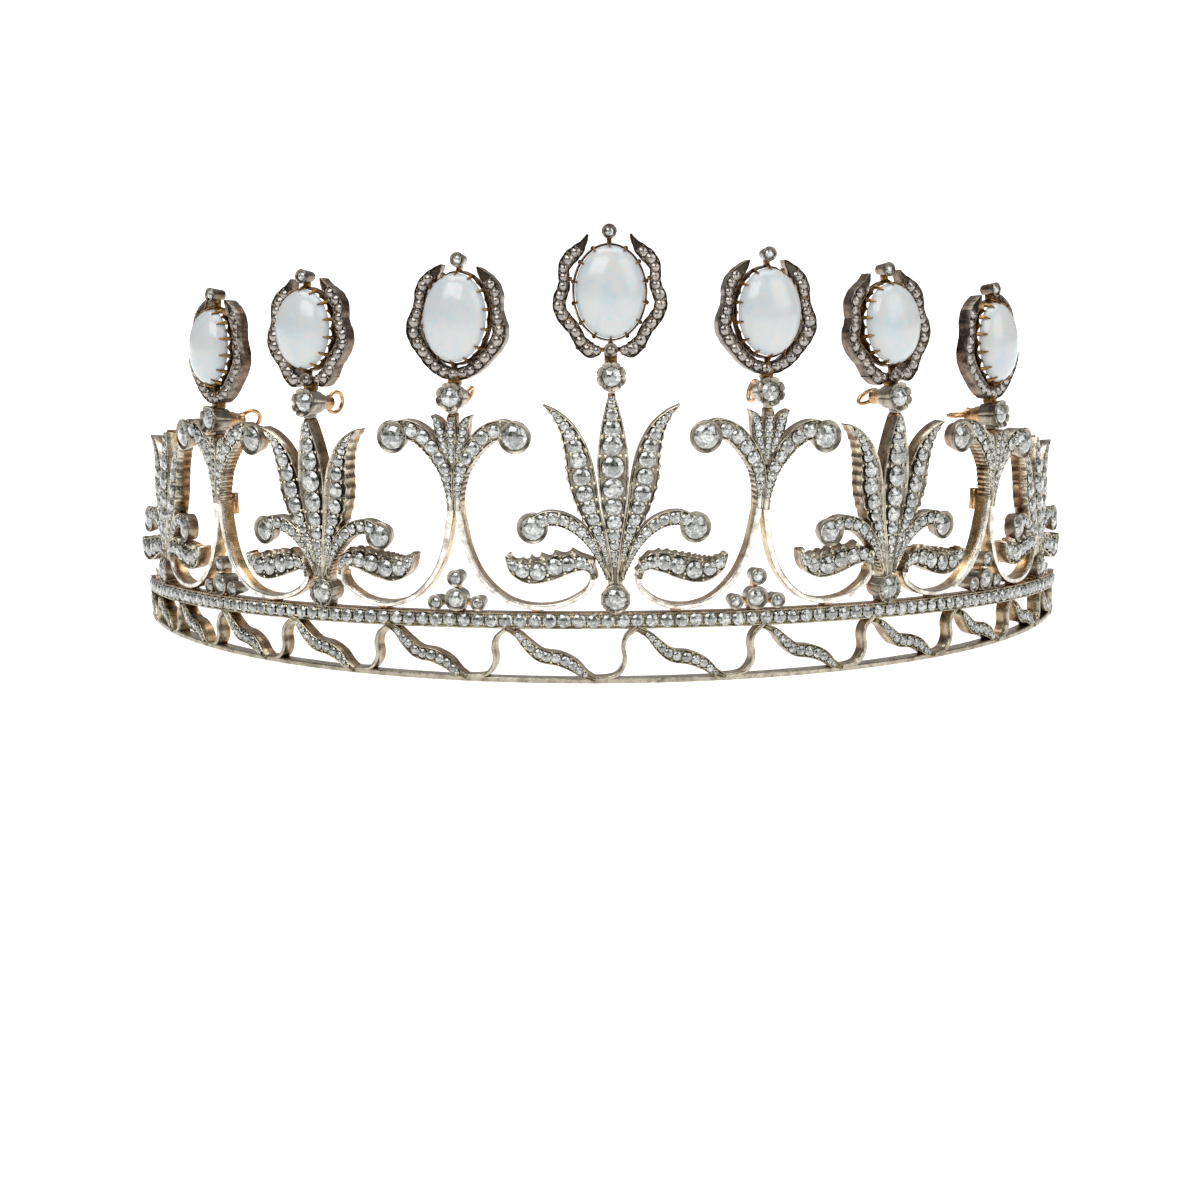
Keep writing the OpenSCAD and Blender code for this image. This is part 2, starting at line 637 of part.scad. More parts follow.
// Struts from the collar to the garland, and the brackets of the top bead and foot bead
module struts(i, s) {
    a = opal_w(i);
    b = opal_h(i);
    for (side = [-1, 1], z = [-3.6, 1.9])
        translate([side * (a + 0.35), 0.65, z * s]) rotate([0, 90 * side, 0])
            cylinder(h = 6.2 * s - a, r = 0.3, $fn = 24);
    translate([-0.35, 0, b + 0.3]) cube([0.7, 1.1, TOP_BEAD[1] * s - b - TOP_BEAD[2] - 0.2]);
    translate([-0.35, 0.2, -garland_low * s]) cube([0.7, 0.9, garland_low * s - b - 0.3]);
}

module opal_mount(i) {
    s = HEAD_ROWS[i - 1][HEAD_SIZE];
    m = MOTIFS[i];
    open = HEAD_ROWS[i - 1][OPEN_GARLAND];
    foot_z = m[COLLET_H] - seat_drop;
    color(dark_silver) difference() {
        union() {
            at_opal(i) {
                garland(s, open);
                claw_collar(i);
                struts(i, s);
                bead(TOP_BEAD, s) collet_body(TOP_BEAD[2], bead_front, bead_d);
                if (open) bead(FOOT_BEAD, s) collet_body(FOOT_BEAD[2], garland_front + 0.5, foot_bead_d);
            }
            at_head(i) {
                rotate([90, 0, 0]) collet_body(collet_stone_r, collet_front, collet_d);
                rotate([90, 0, 0]) translate([0, 0, tube_back]) cylinder(h = 1.6, r = 1.25);
                translate([-0.9, 0.2, 1.6]) cube([1.8, 1.6, rise(i) - garland_low * s - 1.2]);
            }
            at_motif(m) block($lean * foot_z, foot_z, 1.3, 0.9);
        }
        at_opal(i) {
            bead(TOP_BEAD, s) collet_bore(TOP_BEAD[2], bead_front, bead_d);
            if (open) bead(FOOT_BEAD, s) collet_bore(FOOT_BEAD[2], garland_front + 0.5, foot_bead_d);
        }
        at_head(i) rotate([90, 0, 0]) {
            collet_bore(collet_stone_r, collet_front, collet_d - 1.3);
            translate([0, 0, tube_back - 1]) cylinder(h = 3, r = 0.6);
        }
    }
}

// Turns a round piece to face forward at a bead's place
module bead(row, s) {
    translate([row[0] * s, 0, row[1] * s]) rotate([90, 0, 0]) children();
}

module opal(i) {
    color(opal_white) at_opal(i) translate([0, -girdle_front, 0]) rotate([90, 0, 0])
        scale([opal_w(i), opal_h(i), 1]) for (quarter = [0 : 3]) rotate([0, 0, 90 * quarter])
            rotate_extrude(angle = 90, $fn = 96) polygon(concat(
                [for (t = [90 : -9 : 0]) [pow(cos(t), 0.9), opal_dome * sin(t)]],
                [for (t = [-15 : -15 : -90]) [cos(t), opal_back * sin(t)]]
            ));
}

module collet_stone(i) {
    color(diamond) at_head(i) rotate([90, 0, 0]) cut_stone(collet_stone_r, collet_front);
}

module thumbscrew(i) {
    color(gold) at_head(i) rotate([90, 0, 0]) rotate([0, 0, HEAD_ROWS[i - 1][RING_TURN]]) {
        translate([0, 0, tube_back]) cylinder(h = 1.4, r = shank_r);
        translate([0, 0, tube_back - gap - nut_h]) cylinder(h = nut_h, r = 1.15);
        translate([0, 0, tube_back - gap - nut_h - 0.05]) cylinder(h = 0.2 + gap, r = shank_r);
        translate([0, 0, tube_back - gap]) cylinder(h = gap + 0.1, r = shank_r);
        translate([0, 0, tube_back - nut_h + 0.1 - screw_ring_r]) scale([1, 1, 1.15]) rotate([90, 0, 0])
            rotate_extrude() translate([screw_ring_r, 0]) circle(r = 0.3, $fn = 24);
    }
}

module base_stone(i) {
    color(diamond) at_motif(MOTIFS[2 * i - 2]) facing(0, seat_h + base_stone_r + 0.32)
        cut_stone(base_stone_r, base_front);
}

module rail_stones() {
    pitch = rail_stone_pitch / band_r * 180 / PI;
    count = floor((band_half_angle - 1.2) / pitch);
    color(diamond) rail_frame() for (i = [-count : count]) rotate([0, 0, i * pitch])
        translate([0, -band_r, upper_rail_h / 2]) rotate([90, 0, 0])
            floor_stone(rail_stone_r, upper_rail_d / 2);
}

// Stones of one palmette: its scroll ends and the largest on its leaves
module palmette_stones() {
    color(diamond) for (i = PALMETTES) {
        m = MOTIFS[2 * i - 2];
        sx = m[WIDTH];
        sz = stretch(m, palmette_top);
        at_motif(m) {
            pair() facing(SCROLL_END[0] * sx, SCROLL_END[1] * sz)
                cut_stone(SCROLL_END[2] * sx, arm_front + 0.1);
            for (t = PALMETTE_STONES) {
                if (t[0] == 0) facing(0, t[1] * sz) floor_stone(t[2] * sx, centre_front);
                else pair() leaf_stone(t, sx, sz, side_x, side_front);
            }
        }
        if (i == 1) at_motif(m) mirrored() low_leaf_stones(sx, sz);
        if (i == 5) at_motif(m) low_leaf_stones(sx, sz);
    }
}

// Stone on the leaf that is tangent to the band at x0
module leaf_stone(t, sx, sz, x0, front) {
    along(x0 * sx) translate([(t[0] - x0) * sx + $lean * t[1] * sz, 0, t[1] * sz]) rotate([90, 0, 0])
        floor_stone(t[2] * sx, front);
}

module low_leaf_stones(sx, sz) {
    for (t = LOW_LEAF_STONES) leaf_stone(t, sx, sz, low_x, low_front);
}

module scroll_stones() {
    color(diamond) for (i = SCROLL_PAIRS) {
        k = 2 * i - 1;
        sz = stretch(MOTIFS[k], scroll_top);
        at_motif(MOTIFS[k]) {
            at_arm_end(MOTIFS[k][RIGHT_ARM]) cut_stone(ARM_END[2], arm_front + 0.1);
            mirrored() at_arm_end(MOTIFS[k][LEFT_ARM]) cut_stone(ARM_END[2], arm_front + 0.1);
            along(spacing(k, 1)) mirrored() low_leaf_stones(1, sz);
            mirrored() along(spacing(k, -1)) mirrored() low_leaf_stones(1, sz);
        }
    }
}

module trefoil_stones() {
    color(diamond) for (i = SCROLL_PAIRS, t = TREFOIL) at_motif(MOTIFS[2 * i - 1]) facing(t[0], t[1])
        cut_stone(t[2], base_front - 0.2);
}

module head_stones() {
    color(diamond) for (i = HEADS) at_opal(i) {
        s = HEAD_ROWS[i - 1][HEAD_SIZE];
        bead(TOP_BEAD, s) cut_stone(TOP_BEAD[2], bead_front);
        if (HEAD_ROWS[i - 1][OPEN_GARLAND]) bead(FOOT_BEAD, s)
            cut_stone(FOOT_BEAD[2], garland_front + 0.5);
    }
}

gallery();
for (i = PALMETTES) palmette(i);
for (i = SCROLL_PAIRS) scroll_pair(i);
for (i = SCROLL_PAIRS) trefoil(i);
for (i = HEADS) opal_mount(i);
for (i = HEADS) opal(i);
for (i = HEADS) collet_stone(i);
for (i = HEADS) thumbscrew(i);
for (i = PALMETTES) base_stone(i);
rail_stones();
palmette_stones();
scroll_stones();
trefoil_stones();
head_stones();
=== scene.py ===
"""Looks of the opal tiara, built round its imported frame.

The set leaves, ribbons, collets, claws and cut stones are made here again with their fine
detail, in the places that the frame gives them. Sizes are in millimetres until a piece is
finished, when it is scaled to metres.
"""

from __future__ import annotations

import logging
import math
import random
from abc import ABC, abstractmethod
from collections.abc import Sequence
from dataclasses import dataclass, field, replace
from enum import Enum

import bmesh
import bpy
from mathutils import Matrix, Vector

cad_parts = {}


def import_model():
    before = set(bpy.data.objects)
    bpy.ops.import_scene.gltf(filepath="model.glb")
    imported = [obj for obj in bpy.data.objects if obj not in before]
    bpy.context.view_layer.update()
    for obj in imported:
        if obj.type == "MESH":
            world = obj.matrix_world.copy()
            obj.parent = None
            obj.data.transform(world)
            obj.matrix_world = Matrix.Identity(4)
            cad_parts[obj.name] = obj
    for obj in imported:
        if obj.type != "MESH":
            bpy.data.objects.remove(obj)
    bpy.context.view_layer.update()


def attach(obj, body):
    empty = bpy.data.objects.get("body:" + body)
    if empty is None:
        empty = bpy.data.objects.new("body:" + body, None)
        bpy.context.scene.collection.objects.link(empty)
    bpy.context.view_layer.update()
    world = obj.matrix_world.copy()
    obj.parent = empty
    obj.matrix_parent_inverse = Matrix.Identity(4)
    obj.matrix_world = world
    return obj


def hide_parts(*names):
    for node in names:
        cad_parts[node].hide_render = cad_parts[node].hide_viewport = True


LOG = logging.getLogger("tiara")
MM = 0.001
BODY = "root"

Row = tuple[float, float, float]
Span = tuple[float, float]
Corner = tuple[float, float, float, float]
Socket = tuple[bpy.types.Node, str]

# Optics, and sizes of marks and glints in millimetres
DIAMOND_IOR = 2.417
OPAL_IOR = 1.45
TARNISH_SIZE = 1.5
FILE_MARK_SIZE = 0.25
GLINT_SIZE = 0.3

# Band and motifs, in millimetres and degrees
BAND_R = 73.9
FACE_R = BAND_R + 1.1
BAND_HALF = 78.0
RAIL_Z = 7.7
RAIL_H = 2.4
RAIL_D = 2.4
RAIL_DROP = 4.35
RAIL_SLOPE = math.degrees(math.asin(RAIL_DROP / BAND_R))
LOWER_H = 0.7
LOWER_D = 2.2
SEAT_H = 0.15
SEAT_DROP = 2.3
FLARE = 1.7
LEAF_D = 2.6
RIBBON_D = 2.2
PALMETTE_TOP = 31.0
SCROLL_TOP = 28.4
MOTIF_GAP = 21.5
LOOP_FOOT = 11.6
CURL_FOOT = 6.6
HEAD_TILT = 6.0
OPAL_A = 4.85
OPAL_B = 6.4
OPAL_DOME = 2.7
OPAL_BACK = 1.5
OPAL_RISE = 11.65
GIRDLE_FRONT = 0.5
CLAWS = 14
BASE_STONE_R = 1.65
SCROLL_STONE_R = 1.8
COLLET_STONE_R = 1.7
CENTRE_FRONT = LEAF_D / 2 + 0.2
SIDE_FRONT = LEAF_D / 2
ARM_FRONT = LEAF_D / 2 - 0.1
LOW_FRONT = RIBBON_D / 2 + 0.1
BASE_FRONT = LEAF_D / 2 + 0.5
GARLAND_FRONT = -0.1
BEAD_FRONT = 1.0
RIM = 0.34
FLOOR_DROP = 0.3
BLOCK_D = RIBBON_D - 0.2
SMALLEST = 0.2
TWO_ROWS_FROM = 0.75
TUBE_START = -1.8
TUBE_END = -3.4
GARLAND_FOOT = 8.4
RING_R = 1.5
RING_WIRE_R = 0.3
SHANK_R = 0.54
FITTING_BORE = 0.45
FITTING_R = 0.73
FITTING_H = 3.1
FITTING_Z = 14.2
SWAY = 4.0
SHARP_ANGLE = 38.0

# Sampling steps in millimetres, counts, the seed, and half the white board in metres
LEAF_STEP = 0.2
RIBBON_STEP = 0.35
BAND_STEPS = 234
WAVES = range(-7, 6)
SEED = 7
BOARD_HALF = 4.0

# Middle lines of the leaves and ribbons. Each row is across, up, half width
CENTRE_LEAF: Sequence[Row] = (
    (0, 4.2, 0.5), (0, 6.5, 0.55), (0, 10, 0.95), (0, 14.5, 1.7), (0, 20.5, 2.25), (0, 25, 1.85),
    (0, 28.6, 1.1), (0, 30.6, 0.55),
)
SIDE_LEAF: Sequence[Row] = (
    (0.7, 5.0, 0.5), (1.2, 8, 0.5), (2.2, 11.5, 0.95), (3.5, 15, 1.6), (4.4, 19, 2.0), (5.0, 22.5, 1.75),
    (6.2, 25.8, 1.2), (7.9, 28.1, 0.6), (9.6, 29.4, 0.12),
)
SCROLL_ARM: Sequence[Row] = (
    (0.9, 4.9, 0.4), (1.8, 7, 0.42), (3.1, 9.7, 0.7), (4.9, 11.9, 0.95), (7.1, 13.2, 1.05), (9.4, 13.45, 1.1),
    (11.2, 12.6, 1.1),
)
LOW_LEAF: Sequence[Row] = (
    (3.05, 4.7, 0.38), (3.3, 6.0, 0.55), (4.5, 7.05, 1.15), (6.6, 7.0, 1.5), (9.2, 6.3, 1.75), (11.8, 5.9, 1.75),
    (13.9, 6.5, 1.2), (15.4, 8.2, 0.12),
)
LOOP: Sequence[Row] = (
    (0.45, 17, 0.5), (0.6, 14.5, 0.5), (0.85, 12.8, 0.5), (1.6, 9.2, 0.45), (2.9, 6.0, 0.42), (4.8, 3.5, 0.4),
    (7.1, 1.75, 0.38), (9.6, 0.9, 0.38), (12.2, 0.75, 0.38), (14.8, 1.25, 0.38), (17.2, 2.6, 0.38),
    (18.3, 4.0, 0.38), (18.45, 5.1, 0.38),
)
UPPER_ARM: Sequence[Row] = (
    (0.5, 14.6, 0.46), (0.6, 16.6, 0.56), (0.85, 18.6, 0.8), (1.2, 20.4, 1.08), (2.7, 23.0, 1.3), (4.9, 25.2, 1.4),
    (7.2, 26.0, 1.4), (9.0, 25.3, 1.2),
)
FLEUR_LEAF: Sequence[Row] = (
    (0.3, 21.3, 0.3), (0.95, 23.3, 0.55), (1.5, 25.0, 0.76), (1.8, 26.4, 0.78), (2.15, 27.4, 0.55), (2.9, 28.2, 0.1),
)
FLEUR_MIDDLE: Sequence[Row] = ((0, 20.6, 0.4), (0, 23.5, 0.6), (0, 26, 0.75), (0, 27.4, 0.6), (0, 28.0, 0.55))
END_CURL: Sequence[Row] = (
    (3.05, 5.1, 0.38), (2.9, 3.7, 0.38), (3.4, 2.2, 0.38), (4.8, 1.15, 0.38), (6.6, 0.9, 0.38), (8.2, 1.5, 0.38),
    (8.6, 2.5, 0.3),
)
WAVE_W = 17.2
# Places across where the pieces of a motif meet the band's curve
SIDE_MIDDLE = 4.4
SCROLL_MIDDLE = 6.0
LOW_MIDDLE = 9.0
UPPER_MIDDLE = 4.0
FLEUR_LEAF_MIDDLE = 1.2
WAVE_MIDDLE = 5.8
WAVE_BEND = 14.6
WAVE_LEAF: Sequence[Row] = (
    (0, 7.9, 0.4), (1.6, 6.9, 0.55), (2.9, 5.4, 0.8), (4.6, 3.95, 0.95), (6.9, 3.5, 1.0), (8.8, 2.6, 0.9),
    (10.3, 1.3, 0.6), (11.7, 0.6, 0.35),
)
WAVE_RIBBON: Sequence[Row] = (
    (11.4, 0.65, 0.3), (13.4, 0.75, 0.3), (14.6, 1.2, 0.3), (15.4, 2.4, 0.3), (15.6, 3.7, 0.3), (15.4, 5.1, 0.3),
    (15.8, 6.6, 0.3), (17.2, 7.9, 0.35),
)
CLOSED_ARM: Sequence[Row] = (
    (2.7, 7.5, 0.12), (3.3, 6.8, 0.5), (4.2, 5.8, 0.85), (5.15, 4.7, 0.92), (5.7, 3.4, 0.86), (5.8, 1.9, 0.8),
    (6.05, 0.5, 0.86), (6.5, -0.9, 0.98), (6.55, -2.3, 1.02), (5.85, -3.8, 1), (4.75, -5.2, 0.95),
    (3.4, -6.7, 0.93), (1.8, -7.75, 0.9), (0, -8.1, 0.92),
)
OPEN_ARM: Sequence[Row] = (
    (2.95, 8, 0.12), (3.45, 7, 0.45), (4.35, 5.85, 0.88), (5.5, 4.75, 1.02), (6.25, 3.6, 0.86),
    (6.35, 2.5, 0.78), (6.3, 1.5, 0.82), (6.45, 0.5, 0.9), (6.9, -0.6, 0.95), (7.05, -1.7, 0.93),
    (6.75, -2.8, 0.95), (6, -3.9, 1), (5.15, -4.9, 0.97), (4.6, -5.9, 0.92), (4.05, -6.9, 0.98),
    (2.8, -7.95, 1.12), (1.5, -8, 0.6),
)
OPEN_TIP: Sequence[Row] = ((3.3, -7.2, 0.5), (4.0, -7.7, 0.4), (4.9, -7.6, 0.12))

# Stones with a seat of their own. Each row is across, up, girdle radius
SCROLL_END: Row = (11.5, 12.1, SCROLL_STONE_R)
ARM_END: Row = (9.1, 24.9, SCROLL_STONE_R + 0.1)
TREFOIL: Sequence[Row] = ((0, 1.85, 1.4), (0, 4.9, 0.95), (-3.1, 1.35, 0.85), (3.2, 1.35, 0.85))
TOP_BEAD: Row = (0, 8.35, 0.76)
FOOT_BEAD: Row = (0, -7.95, 0.62)


class Facing(Enum):
    """Side of a middle line, seen along its heading."""

    NONE = 0
    LEFT = 1
    RIGHT = 2
    BOTH = 3


class Garland(Enum):
    """How a garland closes under its opal."""

    CLOSED = "closed"
    OPEN = "open"


class Setting(Enum):
    """How a stone is held."""

    OLD_CUT = "old cut"
    ROSE_CUT = "rose cut"


def linear(code: str) -> tuple[float, float, float, float]:
    """Turns an sRGB hex colour to linear values.

    Args:
        code: Six hex digits after a hash sign.

    Returns:
        Red, green, blue and an alpha of one.
    """
    parts = (int(code[i : i + 2], 16) / 255 for i in (1, 3, 5))
    red, green, blue = (c / 12.92 if c <= 0.04045 else ((c + 0.055) / 1.055) ** 2.4 for c in parts)
    return red, green, blue, 1.0


def wired(node: bpy.types.Node, inputs: dict[str | int, object]) -> bpy.types.Node:
    """Sets or links a node's inputs.

    Args:
        node: The node.
        inputs: Values of its inputs, or (node, output) pairs to link to them.

    Returns:
        The same node.
    """
    for name, value in inputs.items():
        if isinstance(value, tuple) and isinstance(value[0], bpy.types.Node):
            node.id_data.links.new(value[0].outputs[value[1]], node.inputs[name])
        else:
            node.inputs[name].default_value = value
    return node


def add_node(
    tree: bpy.types.NodeTree, kind: str, inputs: dict[str | int, object], **settings: object
) -> bpy.types.Node:
    """Adds a shader node.

    Args:
        tree: Node tree that gets it.
        kind: Its type, as Blender names it after "ShaderNode".
        inputs: Values of its inputs, or (node, output) pairs to link to them.
        settings: Its properties.

    Returns:
        The new node.
    """
    node = tree.nodes.new("ShaderNode" + kind)
    for name, value in settings.items():
        setattr(node, name, value)
    return wired(node, inputs)


def here(tree: bpy.types.NodeTree) -> Socket:
    """Returns the place on the object in metres."""
    return add_node(tree, "TexCoord", {}), "Object"


def mark(tree: bpy.types.NodeTree, name: str) -> Socket:
    """Returns a mark that the mesh carries."""
    return add_node(tree, "Attribute", {}, attribute_name=name), "Fac"


def noise(tree: bpy.types.NodeTree, size: float, **inputs: float) -> Socket:
    """Returns a noise whose clouds are about the given size in millimetres."""
    return add_node(tree, "TexNoise", {"Vector": here(tree), "Scale": 1 / (size * MM), **inputs}), "Fac"


def mixed(tree: bpy.types.NodeTree, factor: object, a: object, b: object, kind: str = "RGBA") -> Socket:
    """Returns the mix of two colours, or of two numbers where the kind is FLOAT."""
    return add_node(tree, "Mix", {"Factor": factor, "A": a, "B": b}, data_type=kind), "Result"


def ranged(
    tree: bpy.types.NodeTree, value: Socket, start: Span, end: Span = (0.0, 1.0), kind: str = "LINEAR"
) -> Socket:
    """Maps a value from one span to another.

    Args:
        tree: Node tree that gets the node.
        value: The value.
        start: Lowest and highest value.
        end: What they become.
        kind: Blender's name of the way between them.

    Returns:
        The mapped value.
    """
    names = ("From Min", "From Max", "To Min", "To Max")
    inputs = {"Value": value, **dict(zip(names, (*start, *end)))}
    return add_node(tree, "MapRange", inputs, interpolation_type=kind), "Result"


def ramp(tree: bpy.types.NodeTree, value: Socket, stops: Sequence[tuple[float, str]]) -> Socket:
    """Turns a value to a colour.

    Args:
        tree: Node tree that gets the ramp.
        value: The value.
        stops: Place and hex colour of each stop.

    Returns:
        The colour.
    """
    node = add_node(tree, "ValToRGB", {"Fac": value})
    elements = node.color_ramp.elements
    while len(elements) < len(stops):
        elements.new(0.5)
    for element, (place, code) in zip(elements, stops):
        element.position = place
        element.color = linear(code)
    return node, "Color"


@dataclass(frozen=True)
class Finish(ABC):
    """Surface of a metal or a stone."""

    name: str

    @abstractmethod
    def dress(self, tree: bpy.types.NodeTree, shader: bpy.types.Node) -> None:
        """Builds the finish's nodes round its shader."""

    def material(self) -> bpy.types.Material:
        """Returns the finish's material, which is made at its first use.

        Returns:
            The material.
        """
        made = bpy.data.materials.get(self.name)
        if not made:
            made = bpy.data.materials.new(self.name)
            made.use_nodes = True
            tree = made.node_tree
            tree.nodes.clear()
            shader = add_node(tree, "BsdfPrincipled", {})
            add_node(tree, "OutputMaterial", {"Surface": (shader, "BSDF")})
            self.dress(tree, shader)
        return made


@dataclass(frozen=True)
class SilverTopped(Finish):
    """Cast silver soldered on gold. Polish has worn off it, so fronts are soft grey-white, hollows are
    darkened towards a shadow colour, partly old tarnish and partly painted shade, and warm gold shows
    from halfway down each side wall to the back."""

    silver: str = "#c6beab"
    tarnish: str = "#655c4b"
    shadow: str = "#4c4437"
    gold: str = "#ab8d6c"
    gold_dark: str = "#654c37"
    roughness: float = 0.26
    gold_line: float = 0.5
    ragged: float = 0.34

    def dress(self, tree: bpy.types.NodeTree, shader: bpy.types.Node) -> None:
        """Blends silver, tarnish and gold by the height in the wall and by old wear, and darkens the
        hollows with tarnish and painted shade.

        Args:
            tree: Node tree that gets the nodes.
            shader: The shader that they feed.
        """
        # Tarnish gathers in patches, and hammer and file marks are finer
        patches = noise(tree, TARNISH_SIZE, Detail=5.0, Roughness=0.62)
        marks = noise(tree, FILE_MARK_SIZE, Detail=3.0, Roughness=0.6)
        terms = {0: patches, 1: self.ragged, 2: mark(tree, "silver")}
        edge = add_node(tree, "Math", terms, operation="MULTIPLY_ADD")
        silvered = ranged(
            tree, (edge, "Value"), (self.gold_line + 0.08, self.gold_line + 0.26), kind="SMOOTHSTEP"
        )
        clean = ramp(tree, patches, ((0.3, self.tarnish), (0.56, self.silver)))
        warm = ramp(tree, patches, ((0.32, self.gold_dark), (0.62, self.gold)))
        metal = mixed(tree, silvered, warm, clean)
        bump = add_node(tree, "Bump", {"Height": marks, "Strength": 0.35, "Distance": 0.03 * MM})
        inputs = {
            "Metallic": 1.0,
            # Hollows are mixed towards the shadow colour: old tarnish and painted shade
            "Base Color": mixed(tree, mark(tree, "hollow"), metal, linear(self.shadow)),
            "Roughness": ranged(tree, marks, (0.3, 0.7), (self.roughness - 0.07, self.roughness + 0.14)),
            "Normal": (bump, "Normal"),
        }
        wired(shader, inputs)


@dataclass(frozen=True)
class Cut(Finish):
    """Cut diamond, with painted flashes: each facet's colour is painted bright, grey or dark, standing in
    for the light that its high index throws back unevenly.
    """

    dark: str = "#434541"
    mid: str = "#93968c"
    bright: str = "#f4f6f2"
    clearness: float = 0.38

    def dress(self, tree: bpy.types.NodeTree, shader: bpy.types.Node) -> None:
        """Paints every facet bright, grey or dark as its own share of painted light, over clear stone with
        the index of diamond.

        Args:
            tree: Node tree that gets the nodes.
            shader: The shader that they feed.
        """
        # Small painted glints stand in for the facets behind showing through
        painted_glints = add_node(tree, "TexVoronoi", {"Vector": here(tree), "Scale": 1 / (GLINT_SIZE * MM)})
        split = add_node(tree, "SeparateColor", {"Color": (painted_glints, "Color")})
        share = mixed(tree, 0.45, mark(tree, "painted_flash"), (split, "Red"), "FLOAT")
        inputs = {
            "Base Color": ramp(tree, share, ((0.16, self.dark), (0.46, self.mid), (0.86, self.bright))),
            "IOR": DIAMOND_IOR,
            "Roughness": 0.03,
            "Transmission Weight": self.clearness,
        }
        wired(shader, inputs)


@dataclass(frozen=True)
class Opal(Finish):
    """Polished white opal. Milky and faintly see-through, with pale blue, green and rose lights in it."""

    def dress(self, tree: bpy.types.NodeTree, shader: bpy.types.Node) -> None:
        """Lays soft clouds of colour through a milky, glossy stone.

        Args:
            tree: Node tree that gets the nodes.
            shader: The shader that they feed.
        """
        # Flecks of colour about 2 mm across, broken up by wider clouds
        clouds = noise(tree, 4.0, Detail=3.0, Distortion=1.2)
        flecks = noise(tree, 1.7, Detail=4.0, Distortion=2.5)
        milk = ramp(tree, clouds, ((0.3, "#a6b3ba"), (0.5, "#b4b9b9"), (0.7, "#babcb5")))
        play = ramp(tree, flecks, ((0.34, "#9fbcc6"), (0.46, "#b9bdbd"), (0.58, "#c7b7b9"), (0.7, "#a9c2ac")))
        inputs = {
            "Base Color": mixed(tree, 0.38, milk, play),
            "IOR": OPAL_IOR,
            "Roughness": 0.17,
            "Subsurface Weight": 0.25,
            "Subsurface Scale": 1.5 * MM,
            "Subsurface Radius": (1.0, 1.0, 1.1),
            "Coat Weight": 0.15,
            "Coat Roughness": 0.12,
        }
        wired(shader, inputs)


@dataclass(frozen=True)
class Paper(Finish):
    """Smooth white board under the tiara, with a faint sheen that gives a soft reflection."""

    def dress(self, tree: bpy.types.NodeTree, shader: bpy.types.Node) -> None:
        """Sets a white surface with a very slight cloud and a painted glow.

        Args:
            tree: Node tree that gets the nodes.
            shader: The shader that they feed.
        """
        cloud = add_node(tree, "TexNoise", {"Vector": here(tree), "Scale": 12.0}), "Fac"
        # The board glows with painted light, stronger away from the middle, so that it stays white up to the horizon
        away = add_node(tree, "VectorMath", {0: here(tree)}, operation="LENGTH")
        inputs = {
            "Base Color": ramp(tree, cloud, ((0.3, "#fbfcfe"), (0.7, "#ffffff"))),
            "Roughness": 0.22,
            "Specular IOR Level": 0.35,
            "Emission Color": linear("#ffffff"),
            "Emission Strength": ranged(tree, (away, "Value"), (0.1, 0.5), (0.55, 1.2)),
        }
        wired(shader, inputs)


# Leaves of the motifs: old silver that is still fairly bright
SILVER = SilverTopped("worn_silver_on_gold")
# Upper rail and wave: the same silver, browner, and darker in its hollows with old polish that was never brushed out
# and painted shade
GROOVED = SilverTopped("worn_silver_rail_on_gold", "#beb397", "#5e5441", "#41382a")
# Loops and curls: plain and rubbed, with the gold reaching further forward
RIBBON = SilverTopped(
    "rubbed_silver_ribbon_on_gold", "#dedad0", "#978b7a", gold="#d9ba8d", gold_dark="#94754f", gold_line=0.62,
    ragged=0.14,
)
# Lower rail and the wave's ribbons: plain silver, a little darker than the loops
RAIL = SilverTopped(
    "rubbed_silver_rail", "#b8b09e", "#7c7260", gold="#b39a78", gold_dark="#7b6448", gold_line=0.36, ragged=0.14
)
# Collets: silver darker than the leaves', with tarnish and deep painted shade in the hollows under the rim
COLLET = SilverTopped("worn_silver_collet", "#a49d8e", "#5c5548", "#2f2a22", "#a58a6a", roughness=0.3)
# Garlands of the heads: silver gone dark brown-grey
DARK = SilverTopped("tarnished_silver_on_gold", "#857b6f", "#463d34", "#29241f", "#85705f", "#463a31")
# Cups and claws of the opals: old gold, dark in its hollows
CUP = SilverTopped("old_gold_cup", "#8f6d3f", "#3b2a18", "#241a10", "#94703f", "#35261a", 0.24)
# Screws and tubes: warm gold, rubbed by the fingers
ROSE_GOLD = SilverTopped("rubbed_warm_gold", "#dcb98c", "#a88258", "#5d4228", "#d6b083", "#9a744c", 0.24)
DIAMOND = Cut("old_cut_diamond")
# Garland stones are set over closed backs, which makes them smoky: their painted flashes are darker and browner
SMOKY = Cut("rose_cut_diamond_closed_back", "#2f2720", "#6b5e51", "#aa9c89", 0.2)
OPAL = Opal("polished_white_opal")
BOARD = Paper("white_board")


def turned(angle: float) -> Matrix:
    """Returns the turn by an angle in degrees round the band's axis."""
    axis = Matrix.Translation((0, BAND_R, 0))
    return axis @ Matrix.Rotation(math.radians(angle), 4, "Z") @ axis.inverted()


def moved(x: float, y: float, z: float) -> Matrix:
    """Returns the move by the given distances."""
    return Matrix.Translation((x, y, z))


def tilted(angle: float, axis: str) -> Matrix:
    """Returns the turn by an angle in degrees round an axis through the origin."""
    return Matrix.Rotation(math.radians(angle), 4, axis)


TO_FRONT = tilted(90, "X")  # turns Z to face forward
MIRROR = Matrix.Diagonal((-1, 1, 1, 1))


def rail_under(angle: float) -> float:
    """Returns the height of the upper rail's underside at an angle round the band."""
    return RAIL_Z - RAIL_DROP * (1 - math.cos(math.radians(angle)))


def rail_top(angle: float) -> float:
    """Returns the height of the upper rail's top at an angle round the band."""
    return rail_under(angle) + RAIL_H


